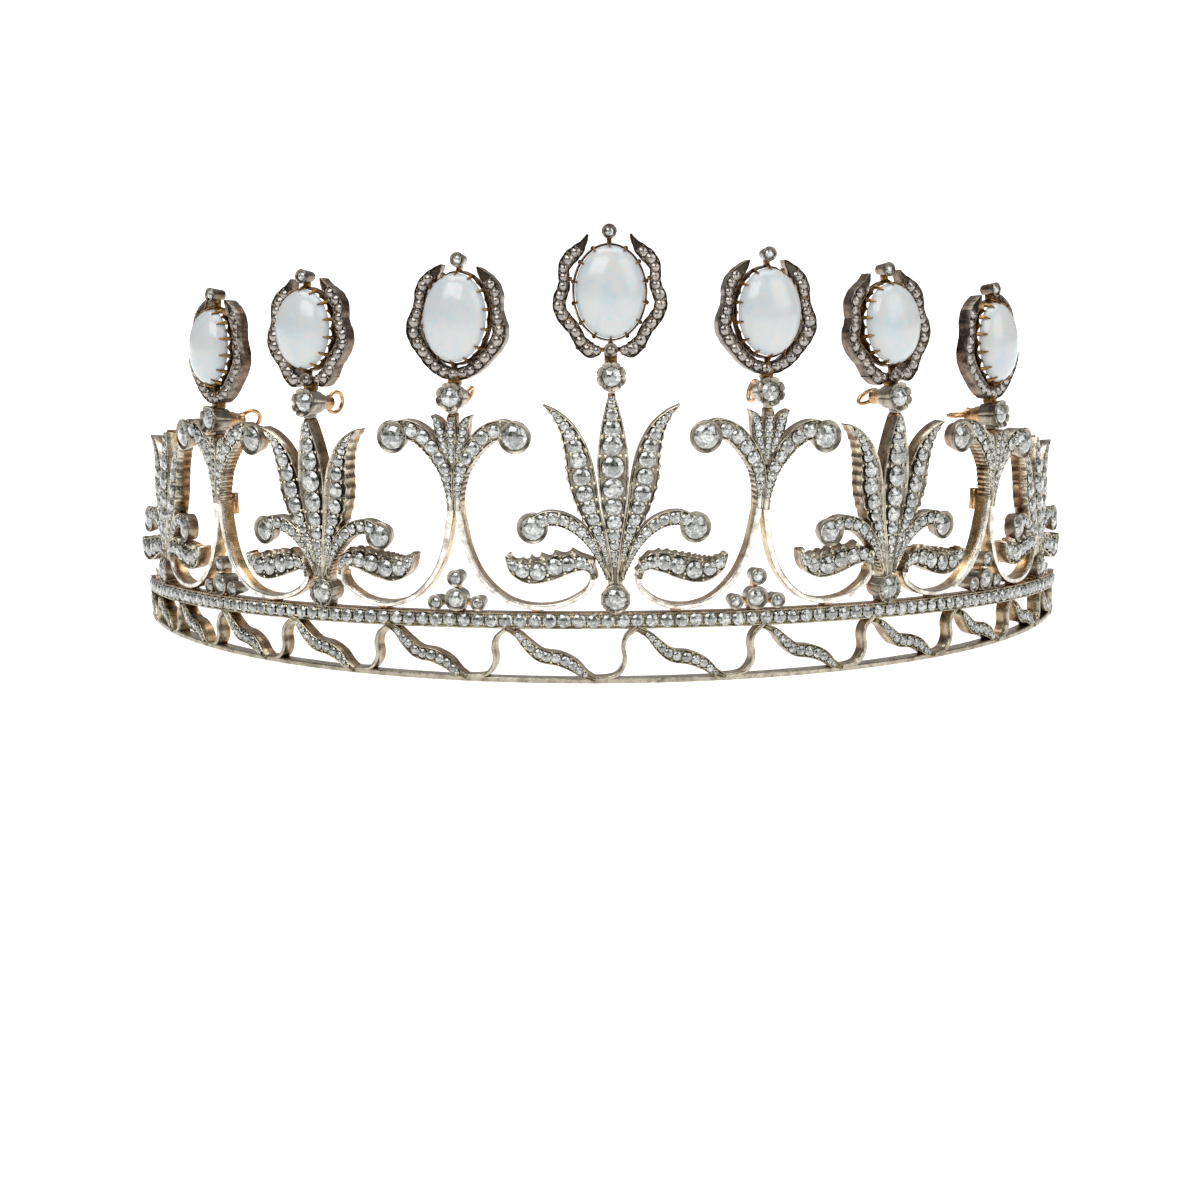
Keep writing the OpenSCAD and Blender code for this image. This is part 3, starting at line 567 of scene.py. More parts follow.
@dataclass(frozen=True)
class Bench:
    """Frame that a motif is made in, with its sideways lean as a slope and how far it follows the band."""

    frame: Matrix
    lean: float = 0.0
    bend: float = 1.0

    def along(self, x: float) -> Matrix:
        """Returns the frame at a distance along the band's curve."""
        return self.frame @ moved(x * (1 - self.bend), 0, 0) @ turned(math.degrees(self.bend * x / FACE_R))

    def facing(self, x: float, z: float) -> Matrix:
        """Returns the frame that faces forward at a place of the motif."""
        return self.along(x) @ moved(self.lean * z, 0, z) @ TO_FRONT

    def mirrored(self) -> Bench:
        """Returns the frame of the motif's other side."""
        return Bench(self.frame @ MIRROR, -self.lean, self.bend)

    def shifted(self, x: float) -> Bench:
        """Returns the same frame, moved along the band's curve."""
        return Bench(self.along(x), self.lean, self.bend)


@dataclass(frozen=True)
class Motif:
    """Place and build of one motif on the upper rail."""

    angle: float
    lean: float
    height: float
    width: float = 1.0
    left_arm: float = 1.0
    right_arm: float = 1.0
    flare: float = FLARE
    bend: float = 1.0

    def bench(self) -> Bench:
        """Returns the frame that the motif is made in.

        Returns:
            The frame.
        """
        slope = math.degrees(math.atan(RAIL_DROP * math.sin(math.radians(self.angle)) / BAND_R))
        frame = turned(self.angle) @ moved(0, 0, rail_top(self.angle)) @ tilted(slope, "Y") @ tilted(self.flare, "X")
        return Bench(frame, math.tan(math.radians(self.lean)), self.bend)

    def stretch(self, top: float) -> float:
        """Returns the stretch of the motif's heights from those of the front ones."""
        return (self.height - SEAT_DROP) / top


MOTIFS: Sequence[Motif] = (
    Motif(-66.5, 0, 26.4, 0.92, flare=FLARE - 4.5, bend=-0.2),
    Motif(-50.3, 2.4, 26.6, left_arm=0.965, right_arm=0.96),
    Motif(-33.1, -2.6, 29.5, 0.92),
    Motif(-16.6, 0.5, 30.5),
    Motif(0.8, -0.9, 33.3),
    Motif(16.2, 2.6, 31, right_arm=0.985),
    Motif(32.7, 1.2, 29.8, 0.92),
    Motif(49.2, 2.7, 26.6, left_arm=0.95, right_arm=0.88),
    Motif(65, 0, 24.8, 0.9, flare=FLARE - 4.5, bend=0.3),
)


@dataclass(frozen=True)
class Point:
    """Point on a middle line, with its half width and heading."""

    across: float
    up: float
    half: float
    heading: Vector
    run: float

    def beside(self, out: float) -> Vector:
        """Returns the place at a distance to the left of the line."""
        return Vector((self.across - self.heading.y * out, self.up + self.heading.x * out))


@dataclass
class MiddleLine:
    """Smooth middle line of a leaf, sampled at even steps."""

    rows: Sequence[Row]
    step: float
    points: list[Point] = field(default_factory=list)

    def __post_init__(self) -> None:
        """Samples the smooth curve through the rows."""
        pieces = 12
        last = len(self.rows) - 1
        fine: list[Vector] = []
        for i in range(last):
            a, b, c, d = (
                Vector(self.rows[min(max(k, 0), last)]) for k in (i - 1, i, i + 1, i + 2)
            )
            for j in range(pieces):
                f = j / pieces
                fine.append(
                    0.5 * (2 * b + (c - a) * f + (2 * a - 5 * b + 4 * c - d) * f * f + (3 * b - a - 3 * c + d) * f**3)
                )
        fine.append(Vector(self.rows[last]))
        runs = [0.0]
        for p, q in zip(fine, fine[1:]):
            runs.append(runs[-1] + (q - p).xy.length)
        count = max(2, round(runs[-1] / self.step))
        even: list[Vector] = []
        k = 0
        for i in range(count + 1):
            run = runs[-1] * i / count
            while k < len(fine) - 2 and runs[k + 1] < run:
                k += 1
            share = (run - runs[k]) / max(runs[k + 1] - runs[k], 1e-9)
            even.append(fine[k].lerp(fine[k + 1], min(share, 1.0)))
        for i, p in enumerate(even):
            heading = (even[min(i + 1, count)] - even[max(i - 1, 0)]).xy.normalized()
            self.points.append(Point(p.x, p.y, max(p.z, 0.05), heading, runs[-1] * i / count))

    @property
    def length(self) -> float:
        """Returns the line's length."""
        return self.points[-1].run

    def at(self, run: float) -> Point:
        """Returns the point nearest to a distance along the line."""
        index = round(run / self.length * (len(self.points) - 1))
        return self.points[min(max(index, 0), len(self.points) - 1)]


def fitted(rows: Sequence[Row], sx: float, sz: float, x0: float = 0.0, lean: float = 0.0) -> list[Row]:
    """Fits a table to its motif: stretched across and up, moved back by x0 and leaned by a slope."""
    return [(x * sx - x0 + lean * z * sz, z * sz, w) for x, z, w in rows]


def tip_to_tip(rows: Sequence[Row]) -> list[Row]:
    """Joins an arm that ends on the axis with its mirror image, from the left tip to the right one."""
    return [(-x, z, half) for x, z, half in rows] + list(rows[-2::-1])


@dataclass(frozen=True)
class Flutes:
    """Grooves cut across a leaf's side wall."""

    side: Facing = Facing.NONE
    pitch: float = 0.8
    depth: float = 0.16
    pointed: bool = False
    proud: float = 0.0
    splay: float = 0.0

    def cut(self, run: float, side: Facing) -> float:
        """Returns the depth of the cut.

        Args:
            run: Distance along the wall.
            side: Side that the wall is on.

        Returns:
            How far the wall is cut in there, less what its ridges stand proud.
        """
        if self.side not in (side, Facing.BOTH):
            return 0.0
        lobe = abs(math.sin(math.pi * run / self.pitch))
        fade = min(1.0, run / self.pitch)
        return fade * (self.depth * (lobe if self.pointed else 1 - lobe) - self.proud)

    def spread(self, side: Facing) -> float:
        """Returns how much further out the fluted wall stands at its back."""
        return self.splay if self.side is side else 0.0


@dataclass(frozen=True)
class Level:
    """One ring of a wall's section: inset, height above the front, share of the fluting, colour marks."""

    inset: float
    rise: float
    fluting: float
    silver: float
    hollow: float


def leveled(*rows: tuple[float, float, float, float, float]) -> tuple[Level, ...]:
    """Returns the rings of a wall's section, from the back to the floor."""
    return tuple(Level(*row) for row in rows)


class Piece:
    """A piece of the tiara in the making."""

    def __init__(self, name: str) -> None:
        """Starts an empty piece of the given name.

        Args:
            name: Its name.
        """
        self.name = name
        self.shape = blank()
        self.finishes: list[Finish] = []

    def _index(self, finish: Finish) -> int:
        """Returns a finish's place among the piece's own.

        Args:
            finish: The finish, which is added if it is new.

        Returns:
            Its material index.
        """
        if finish not in self.finishes:
            self.finishes.append(finish)
        return self.finishes.index(finish)

    def take(self, part: bmesh.types.BMesh, finish: Finish, frame: Matrix) -> None:
        """Adds a part, which is used up.

        Args:
            part: The part, as a closed shape in its own frame.
            finish: The part's surface.
            frame: Where the part goes.
        """
        index = self._index(finish)
        bmesh.ops.recalc_face_normals(part, faces=part.faces)
        if part.calc_volume(signed=True) < 0:
            bmesh.ops.reverse_faces(part, faces=part.faces)
        for face in part.faces:
            face.material_index = index
            face.smooth = True
        part.transform(frame)
        if frame.determinant() < 0:
            bmesh.ops.reverse_faces(part, faces=part.faces)
        mesh = bpy.data.meshes.new("part")
        part.to_mesh(mesh)
        part.free()
        self.shape.from_mesh(mesh)
        bpy.data.meshes.remove(mesh)

    def stamp(self, pattern: bpy.types.Mesh, finish: Finish, frame: Matrix) -> None:
        """Adds a copy of a small pattern.

        Args:
            pattern: Mesh of the pattern.
            finish: Its surface, the pattern's only one.
            frame: Where it goes.
        """
        copy = pattern.copy()
        copy.transform(frame if frame.determinant() > 0 else frame @ MIRROR)
        index = self._index(finish)
        if index:
            copy.polygons.foreach_set("material_index", [index] * len(copy.polygons))
        self.shape.from_mesh(copy)
        bpy.data.meshes.remove(copy)

    def finish(self, slot: str, replaces: Sequence[str] = ()) -> bpy.types.Object:
        """Makes the piece an object that rides on the tiara.

        Args:
            slot: Not used.
            replaces: Nodes of the frame that it stands for.

        Returns:
            The object.
        """
        self.shape.transform(Matrix.Scale(MM, 4))
        mesh = bpy.data.meshes.new(self.name)
        self.shape.to_mesh(mesh)
        self.shape.free()
        for finish in self.finishes:
            mesh.materials.append(finish.material())
        mesh.set_sharp_from_angle(angle=math.radians(SHARP_ANGLE))
        made = linked(self.name, mesh)
        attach(made, BODY)
        if replaces:
            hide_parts(*replaces)
        LOG.info("%s: %d faces", self.name, len(mesh.polygons))
        return made


def linked(name: str, data: bpy.types.ID) -> bpy.types.Object:
    """Returns a new object in the scene.

    Args:
        name: Its name.
        data: Its mesh, light or camera.

    Returns:
        The object.
    """
    made = bpy.data.objects.new(name, data)
    bpy.context.scene.collection.objects.link(made)
    return made


def blank() -> bmesh.types.BMesh:
    """Returns an empty shape whose vertices can carry the marks of their metal.

    Returns:
        The shape.
    """
    part = bmesh.new()
    for layer in ("silver", "hollow"):
        part.verts.layers.float.new(layer)
    part.faces.layers.float.new("painted_flash")
    return part


def marked(part: bmesh.types.BMesh, verts: Sequence[bmesh.types.BMVert], silver: float, hollow: float) -> None:
    """Marks how far forward and how deep in a hollow some vertices are.

    Args:
        part: Shape that they belong to.
        verts: The vertices.
        silver: 0 for gold at the back, 1 for silver at the front.
        hollow: 0 for open metal, 1 for the bottom of a hollow, painted dark with tarnish and painted shade.
    """
    for layer, value in (("silver", silver), ("hollow", hollow)):
        key = part.verts.layers.float[layer]
        for vert in verts:
            vert[key] = value


def lofted(rings: Sequence[Sequence[Vector]], marks: Sequence[tuple[float, float]]) -> bmesh.types.BMesh:
    """Draws a face through rings of points, one after another, as a closed shape.

    Args:
        rings: Rings with the same number of points, from the back to the last floor.
        marks: Silver and hollow marks of each ring.

    Returns:
        The shape.
    """
    part = blank()
    face = part.faces.new([part.verts.new(p) for p in rings[0]])
    marked(part, face.verts, *marks[0])
    back = face
    for ring, mark in zip(rings[1:], marks[1:]):
        start = [v.co.copy() for v in face.verts]
        made = bmesh.ops.extrude_face_region(part, geom=[face])["geom"]
        if face is not back:
            bmesh.ops.delete(part, geom=[face], context="FACES_ONLY")
        face = next(g for g in made if isinstance(g, bmesh.types.BMFace))
        first = next(i for i, v in enumerate(face.verts) if (v.co - start[0]).length < 1e-7)
        verts = list(face.verts)[first:] + list(face.verts)[:first]
        if len(verts) > 1 and (verts[1].co - start[1]).length > 1e-7:
            verts = [verts[0], *reversed(verts[1:])]
        for vert, place in zip(verts, ring):
            vert.co = place
        face = next(f for f in verts[0].link_faces if len(f.verts) == len(ring) and set(f.verts) == set(verts))
        marked(part, verts, *mark)
    return part


def ringed(sections: Sequence[Sequence[Vector]], marks: Sequence[tuple[float, float]]) -> bmesh.types.BMesh:
    """Joins closed rings in turn, and the last to the first, as a hollow collar.

    Args:
        sections: Rings with the same number of points, in turn round the wall's section.
        marks: Silver and hollow marks of each ring.

    Returns:
        The shape.
    """
    part = blank()
    loops: list[list[bmesh.types.BMEdge]] = []
    for ring, mark in zip(sections, marks):
        verts = bmesh.ops.create_circle(part, segments=len(ring), radius=1.0)["verts"]
        for vert, place in zip(verts, ring):
            vert.co = place
        marked(part, verts, *mark)
        loops.append(list({edge for vert in verts for edge in vert.link_edges}))
    for near, far in zip(loops, loops[1:] + loops[:1]):
        bmesh.ops.bridge_loops(part, edges=near + far)
    return part


def spun(profile: Sequence[Corner], steps: int = 32) -> bmesh.types.BMesh:
    """Spins a closed section round Z.

    Args:
        profile: Radius, height, silver mark and hollow mark of each corner.
        steps: Steps of the full turn.

    Returns:
        The shape.
    """
    part = blank()
    verts = []
    for radius, height, silver, hollow in profile:
        verts.append(part.verts.new((radius, 0, height)))
        marked(part, verts[-1:], silver, hollow)
    edges = [part.edges.new(pair) for pair in zip(verts, verts[1:] + verts[:1])]
    loop = verts + edges
    bmesh.ops.spin(part, geom=loop, cent=(0, 0, 0), axis=(0, 0, 1), angle=math.tau, steps=steps, use_merge=True)
    bmesh.ops.remove_doubles(part, verts=part.verts, dist=1e-5)
    return part


def box(width: float, depth: float, height: float, silver: float = 0.4) -> bmesh.types.BMesh:
    """Makes a small block with rounded edges.

    Args:
        width: Size along X.
        depth: Size along Y.
        height: Size along Z.
        silver: Silver mark of the whole block.

    Returns:
        The shape, round its own middle.
    """
    part = blank()
    verts = bmesh.ops.create_cube(part, size=1.0)["verts"]
    bmesh.ops.scale(part, vec=(width, depth, height), verts=verts)
    edges, offset = list(part.edges), min(width, depth, height) * 0.2
    bmesh.ops.bevel(part, geom=edges, offset=offset, affect="EDGES", segments=2, profile=0.5, material=-1)
    marked(part, part.verts, silver, 0.0)
    return part


def rod(start: Vector, end: Vector, r1: float, r2: float, sides: int = 10, silver: float = 0.4) -> bmesh.types.BMesh:
    """Makes a tapered wire between two points.

    Args:
        start: Middle of its root.
        end: Middle of its tip.
        r1: Radius at the root.
        r2: Radius at the tip.
        sides: Sides of its section.
        silver: Silver mark.

    Returns:
        The shape.
    """
    part = blank()
    way = end - start
    frame = Matrix.Translation((start + end) / 2) @ way.to_track_quat("Z", "Y").to_matrix().to_4x4()
    bmesh.ops.create_cone(
        part, cap_ends=True, cap_tris=False, segments=sides, radius1=r1, radius2=r2, depth=way.length, matrix=frame
    )
    marked(part, part.verts, silver, 0.0)
    return part


class Patterns:
    """Small shapes that are used many times."""

    def __init__(self, chance: random.Random) -> None:
        """Makes the grains and stones, each of radius one, facing Z.

        Args:
            chance: Source of the seeded variation.
        """
        self.grain = self._kept(self._grain(), "grain", True)
        self.lobe = self._kept(self._grain(3.0, silver=0.35), "lobe", True)
        self.azure = self._kept(self._azure(), "azure", True)
        self.cuts = {
            kind: [self._kept(self._flashed(shape(), chance), kind.name, False) for _ in range(5)]
            for kind, shape in ((Setting.OLD_CUT, self._old_cut), (Setting.ROSE_CUT, self._rose_cut))
        }

    def _kept(self, part: bmesh.types.BMesh, name: str, smooth: bool) -> bpy.types.Mesh:
        """Keeps a part as a mesh and returns it.

        Args:
            part: The part, which is used up.
            name: Its name.
            smooth: Whether its faces are shaded smooth.

        Returns:
            The mesh.
        """
        bmesh.ops.recalc_face_normals(part, faces=part.faces)
        for face in part.faces:
            face.smooth = smooth
        mesh = bpy.data.meshes.new(name)
        part.to_mesh(mesh)
        part.free()
        return mesh

    def _flashed(self, stone: bmesh.types.BMesh, chance: random.Random) -> bmesh.types.BMesh:
        """Gives each facet of a stone its own share of painted light and returns the stone.

        Args:
            stone: The stone.
            chance: Source of the seeded variation.

        Returns:
            The same stone.
        """
        painted_flash = stone.faces.layers.float["painted_flash"]
        for face in stone.faces:
            face[painted_flash] = chance.random()
        return stone

    def _azure(self) -> bmesh.types.BMesh:
        """Returns the bevelled mouth of the opening that is drilled behind a stone.

        Returns:
            The shape.
        """
        return spun(
            ((0.001, 0.03, 0.0, 1.0), (0.62, 0.03, 0.0, 1.0), (0.74, 0.1, 0.0, 0.3), (0.88, 0.1, 0.0, 0.0),
             (1.0, 0.0, 0.0, 0.0), (0.9, -0.1, 0.0, 0.0), (0.001, -0.1, 0.0, 0.0)),
            14,
        )

    def _grain(self, length: float = 1.0, silver: float = 1.0) -> bmesh.types.BMesh:
        """Makes a small round bead.

        Args:
            length: Factor by which it is drawn out along Y.
            silver: Silver mark.

        Returns:
            The shape.
        """
        part = blank()
        verts = bmesh.ops.create_icosphere(part, subdivisions=1 if length == 1.0 else 2, radius=1.0)["verts"]
        bmesh.ops.scale(part, vec=(1, length, 1), verts=verts)
        marked(part, verts, silver, 0.0)
        return part

    def _hull(self, rings: Sequence[tuple[int, float, float, float]]) -> bmesh.types.BMesh:
        """Cuts a stone as the smallest convex shape round its corners.

        Args:
            rings: Count, radius, height and turn in steps of each ring of corners.

        Returns:
            The stone.
        """
        part = blank()
        for count, radius, height, turn in rings:
            for i in range(count):
                a = math.tau * (i + turn) / count
                part.verts.new((radius * math.cos(a), radius * math.sin(a), height))
        made = bmesh.ops.convex_hull(part, input=part.verts)
        bmesh.ops.delete(part, geom=list(set(made["geom_interior"] + made["geom_unused"])), context="VERTS")
        bmesh.ops.dissolve_limit(part, angle_limit=math.radians(1), verts=part.verts, edges=part.edges)
        return part

    def _old_cut(self) -> bmesh.types.BMesh:
        """Returns an old-cut stone: small table, high crown, deep pavilion.

        Returns:
            The stone.
        """
        return self._hull(
            ((8, 0.5, 0.36, 0), (8, 0.78, 0.215, 0.5), (16, 1.0, 0.02, 0), (16, 1.0, -0.03, 0), (8, 0.52, -0.42, 0.5),
             (4, 0.08, -0.74, 0.5))
        )

    def _rose_cut(self) -> bmesh.types.BMesh:
        """Returns a rose-cut stone: a dome of triangles on a flat back."""
        return self._hull(((1, 0.0, 0.52, 0), (6, 0.55, 0.38, 0), (12, 1.0, 0.0, 0.5), (12, 0.96, -0.12, 0.5)))


@dataclass
class Workshop:
    """What every sub-assembly is made with."""

    patterns: Patterns
    chance: random.Random

    def stone(self, piece: Piece, kind: Setting, finish: Finish, frame: Matrix, radius: float) -> None:
        """Puts a stone into a piece.

        Args:
            piece: Piece that gets it.
            kind: Its cut.
            finish: Its surface.
            frame: Its place, facing Z, with the girdle at the frame's origin.
            radius: Its girdle radius.
        """
        pattern = self.chance.choice(self.patterns.cuts[kind])
        turn = Matrix.Rotation(self.chance.uniform(0, math.tau), 4, "Z")
        # No two hand-cut stones sit quite level
        sway = tilted(self.chance.uniform(-SWAY, SWAY), "X") @ tilted(self.chance.uniform(-SWAY, SWAY), "Y")
        piece.stamp(pattern, finish, frame @ sway @ turn @ Matrix.Scale(radius, 4))

    def grain(self, piece: Piece, finish: Finish, frame: Matrix, radius: float) -> None:
        """Raises a grain of metal at a frame's origin."""
        piece.stamp(self.patterns.grain, finish, frame @ Matrix.Scale(radius, 4))


@dataclass
class Job:
    """A sub-assembly in the making: the workshop, and the pieces that get its metal and its stones."""

    shop: Workshop
    metal: Piece
    stones: Piece

    def block(self, bench: Bench, x: float, z: float, width: float, height: float, silver: float = 0.4) -> None:
        """Puts a block into a motif, with its middle at x across and its underside at height z."""
        part = box(width, BLOCK_D, height, silver)
        self.metal.take(part, SILVER, bench.frame @ moved(x, 0, z + height / 2))

    def foot(self, bench: Bench, width: float) -> None:
        """Puts a motif's foot on its seat."""
        self.block(bench, 0, SEAT_H, width, 0.7)


@dataclass
class SetLeaf:
    """Leaf with a raised rim, fluted walls and a floor of graduated stones."""

    rows: Sequence[Row]
    front: float
    depth: float
    flutes: Flutes = Flutes()
    rim: float = RIM
    finish: Finish = SILVER
    stone_finish: Finish = DIAMOND
    cut: Setting = Setting.OLD_CUT
    largest: float = 0.7
    stones_from: float = 0.0
    stones_to: float = 0.0
    grow: float = 0.0

    # The two lowest levels are shares of the depth, the others distances from the front
    LEVELS = leveled(
        (0.12, -1.0, 0.6, 0.0, 0.0), (0.04, -0.5, 1.0, 0.42, 0.0), (0.0, -0.12, 1.0, 0.9, 0.0),
        (0.05, -0.03, 0.8, 1.0, 0.0), (0.12, 0.0, 0.5, 1.0, 0.0), (0.2, -0.05, 0.2, 1.0, 0.0),
        (0.34, -0.26, 0.0, 1.0, 0.5), (0.4, -0.3, 0.0, 1.0, 0.62),
    )

    def lay(self, job: Job, bench: Bench, sx: float, sz: float, middle: float = 0.0) -> None:
        """Fits the leaf to a motif and makes it flat against the band's curve at its middle."""
        rows = fitted(self.rows, sx, sz, middle * sx, bench.lean)
        replace(self, rows=rows).make(job, bench.along(middle * sx) @ TO_FRONT)

    def make(self, job: Job, frame: Matrix) -> None:
        """Makes the leaf and sets its stones.

        Args:
            job: The sub-assembly that it belongs to.
            frame: Frame of the leaf, facing Z, with X across and Y up.
        """
        line = MiddleLine(self.rows, LEAF_STEP)
        rings: list[list[Vector]] = []
        for i, level in enumerate(self.LEVELS):
            rise = level.rise * self.depth if i < 2 else level.rise
            inset = level.inset * self.rim / RIM
            rings.append(self._ring(line, inset, self.front + rise, level.fluting))
        marks = [(level.silver, level.hollow) for level in self.LEVELS]
        job.metal.take(lofted(rings, marks), self.finish, frame)
        for run, radius in self._runs(line):
            self._set_stone(job, line, run, radius, frame)

    def _ring(self, line: MiddleLine, inset: float, rise: float, fluting: float) -> list[Vector]:
        """Returns one ring of the wall.

        Args:
            line: Middle line.
            inset: Distance in from the outline.
            rise: Height of the ring.
            fluting: Share of the flutes' depth.

        Returns:
            Points up the left side and down the right.
        """
        sides: list[list[Vector]] = []
        for side, sign in ((Facing.LEFT, 1), (Facing.RIGHT, -1)):
            points = []
            for p in line.points:
                out = self.flutes.spread(side) if rise < self.front - FLOOR_DROP else 0.0
                half = max(p.half + self.grow + out - inset - fluting * self.flutes.cut(p.run, side), 0.015)
                points.append(Vector((*p.beside(sign * half), rise)))
            sides.append(points)
        return sides[0] + sides[1][::-1]

    def _runs(self, line: MiddleLine) -> list[tuple[float, float]]:
        """Spreads the stones from the widest place towards both ends.

        Args:
            line: Middle line.

        Returns:
            Distance along the line and girdle radius of each stone.
        """
        widest = max(line.points, key=lambda p: p.half)
        runs = [(widest.run, self._radius(widest))]
        for direction in (1, -1):
            run, radius = runs[0]
            while True:
                following = self._radius(line.at(run + direction * radius * 1.9))
                run += direction * (radius + following) * 0.99
                radius = self._radius(line.at(run))
                low, high = self.stones_from + radius * 0.6, line.length - self.stones_to - radius * 0.6
                if radius < SMALLEST or not low < run < high:
                    break
                runs.append((run, radius))
        return runs

    def _set_stone(self, job: Job, line: MiddleLine, run: float, radius: float, frame: Matrix) -> None:
        """Sets one stone over its drilled opening, with grains round it.

        Args:
            job: The sub-assembly that it belongs to.
            line: Middle line.
            run: Distance along the line.
            radius: The place's girdle radius.
            frame: Frame of the leaf.
        """
        shop, floor = job.shop, self.front - FLOOR_DROP
        p = line.at(run)
        radius *= shop.chance.uniform(0.92, 1.06)
        middle = p.beside(shop.chance.uniform(-0.05, 0.05) * p.half)
        place = frame @ moved(middle.x, middle.y, floor)
        lift = 0.26 if self.cut is Setting.OLD_CUT else 0.16
        shop.stone(job.stones, self.cut, self.stone_finish, place @ moved(0, 0, lift), radius)
        back = frame @ moved(p.across, p.up, self.front - self.depth) @ tilted(180, "X")
        bore = Matrix.Diagonal((radius * 0.7, radius * 0.7, 0.8, 1))
        job.metal.stamp(shop.patterns.azure, self.finish, back @ bore)
        for ahead in (-1, 1):
            q = line.at(run + ahead * radius * 0.98)
            out = max(q.half - self.rim - 0.02, 0.1)
            size = min(0.26, 0.13 + 0.09 * radius)
            for share in (1.0, 0.58) if radius > TWO_ROWS_FROM else (1.0,):
                for side in (-1, 1):
                    spot = q.beside(side * share * out)
                    shop.grain(job.metal, self.finish, frame @ moved(spot.x, spot.y, floor + 0.14), size)

    def _radius(self, p: Point) -> float:
        """Returns the girdle radius of the stone that fits at a point."""
        return min(self.largest * p.half, p.half - self.rim * 0.8)


# Leaves of the motifs, at the front ones' size
CENTRE = SetLeaf(CENTRE_LEAF, CENTRE_FRONT, LEAF_D, rim=0.36, stones_from=2.2)
SIDE = SetLeaf(
    SIDE_LEAF, SIDE_FRONT, LEAF_D - 0.3, Flutes(Facing.RIGHT, 1.5, 0.3, True, 0.12, 0.2), largest=0.62, stones_from=1.6
)
SCROLL = SetLeaf(
    SCROLL_ARM, ARM_FRONT, LEAF_D - 0.4, Flutes(Facing.RIGHT, 0.6, 0.16, splay=0.12), rim=0.26, largest=0.74,
    stones_from=1.2, stones_to=1.6,
)
UPPER = SetLeaf(
    UPPER_ARM, ARM_FRONT, LEAF_D - 0.4, Flutes(Facing.RIGHT, 0.8, 0.26, proud=0.06, splay=0.18), rim=0.28, largest=0.72,
    stones_from=1.5, stones_to=1.3,
)
FLEUR = SetLeaf(FLEUR_LEAF, SIDE_FRONT, LEAF_D - 0.6, rim=0.18, stones_from=0.8)
FLEUR_CENTRE = SetLeaf(FLEUR_MIDDLE, CENTRE_FRONT, LEAF_D - 0.2, rim=0.18, stones_from=0.8)
WAVE = SetLeaf(WAVE_LEAF, RIBBON_D / 2, RIBBON_D - 0.1, rim=0.26, finish=GROOVED, stones_from=1.2, stones_to=1.0)
# The upper wall of a low leaf has small teeth, or wide scallops with pointed claws
TOOTHED = SetLeaf(
    LOW_LEAF, LOW_FRONT, RIBBON_D, Flutes(Facing.LEFT, 1.05, 0.5, True, 0.26, 0.25), rim=0.3, largest=0.68,
    stones_from=0.8,
)
CLAWED = replace(TOOTHED, flutes=Flutes(Facing.LEFT, 2.1, 0.95, True, 0.5, 0.3))
# Garland stones sit deep in closed settings
CLOSED_SET = SetLeaf(
    CLOSED_ARM, GARLAND_FRONT, 2.0, rim=0.24, finish=DARK, stone_finish=SMOKY, cut=Setting.ROSE_CUT, largest=0.76,
    stones_from=2.0, grow=0.04,
)
TIP = replace(CLOSED_SET, rows=OPEN_TIP, rim=0.2, largest=0.7, stones_from=3.0, grow=0.0)


@dataclass
class PlainRibbon:
    """Plain ribbon on edge, bright along its front."""

    rows: Sequence[Row]
    front: float = RIBBON_D / 2
    depth: float = RIBBON_D
    finish: Finish = RIBBON

    LEVELS = leveled(
        (0.08, -1.0, 0, 0.0, 0.0), (0.0, -0.96, 0, 0.1, 0.0), (0.0, -0.5, 0, 0.45, 0.0), (0.0, -0.06, 0, 0.98, 0.0),
        (0.06, -0.02, 0, 1.0, 0.0), (0.15, 0.0, 0, 1.0, 0.0),
    )

    def make(self, metal: Piece, frame: Matrix, bent: bool) -> None:
        """Makes the ribbon.

        Args:
            metal: Piece that gets it.
            frame: Frame of its motif.
            bent: Whether it follows the band's curve.
        """
        line = MiddleLine(self.rows, RIBBON_STEP)
        rings: list[list[Vector]] = []
        for level in self.LEVELS:
            ring: list[Vector] = []
            for sign, points in ((1, line.points), (-1, line.points[::-1])):
                for p in points:
                    spot = p.beside(sign * max(p.half - level.inset, 0.02))
                    ring.append(self._placed(spot, self.front + level.rise * self.depth, bent))
            rings.append(ring)
        metal.take(lofted(rings, [(level.silver, level.hollow) for level in self.LEVELS]), self.finish, frame)

    def _placed(self, spot: Vector, forward: float, bent: bool) -> Vector:
        """Returns a place of the ribbon in its motif's frame, bent to the band's curve if need be.

        Args:
            spot: Place across and up.
            forward: Distance in front of the band.
            bent: Whether it follows the band's curve.

        Returns:
            The place in 3-D.
        """
        if not bent:
            return Vector((spot.x, -forward, spot.y))
        return turned(math.degrees(spot.x / FACE_R)) @ Vector((0, -forward, spot.y))


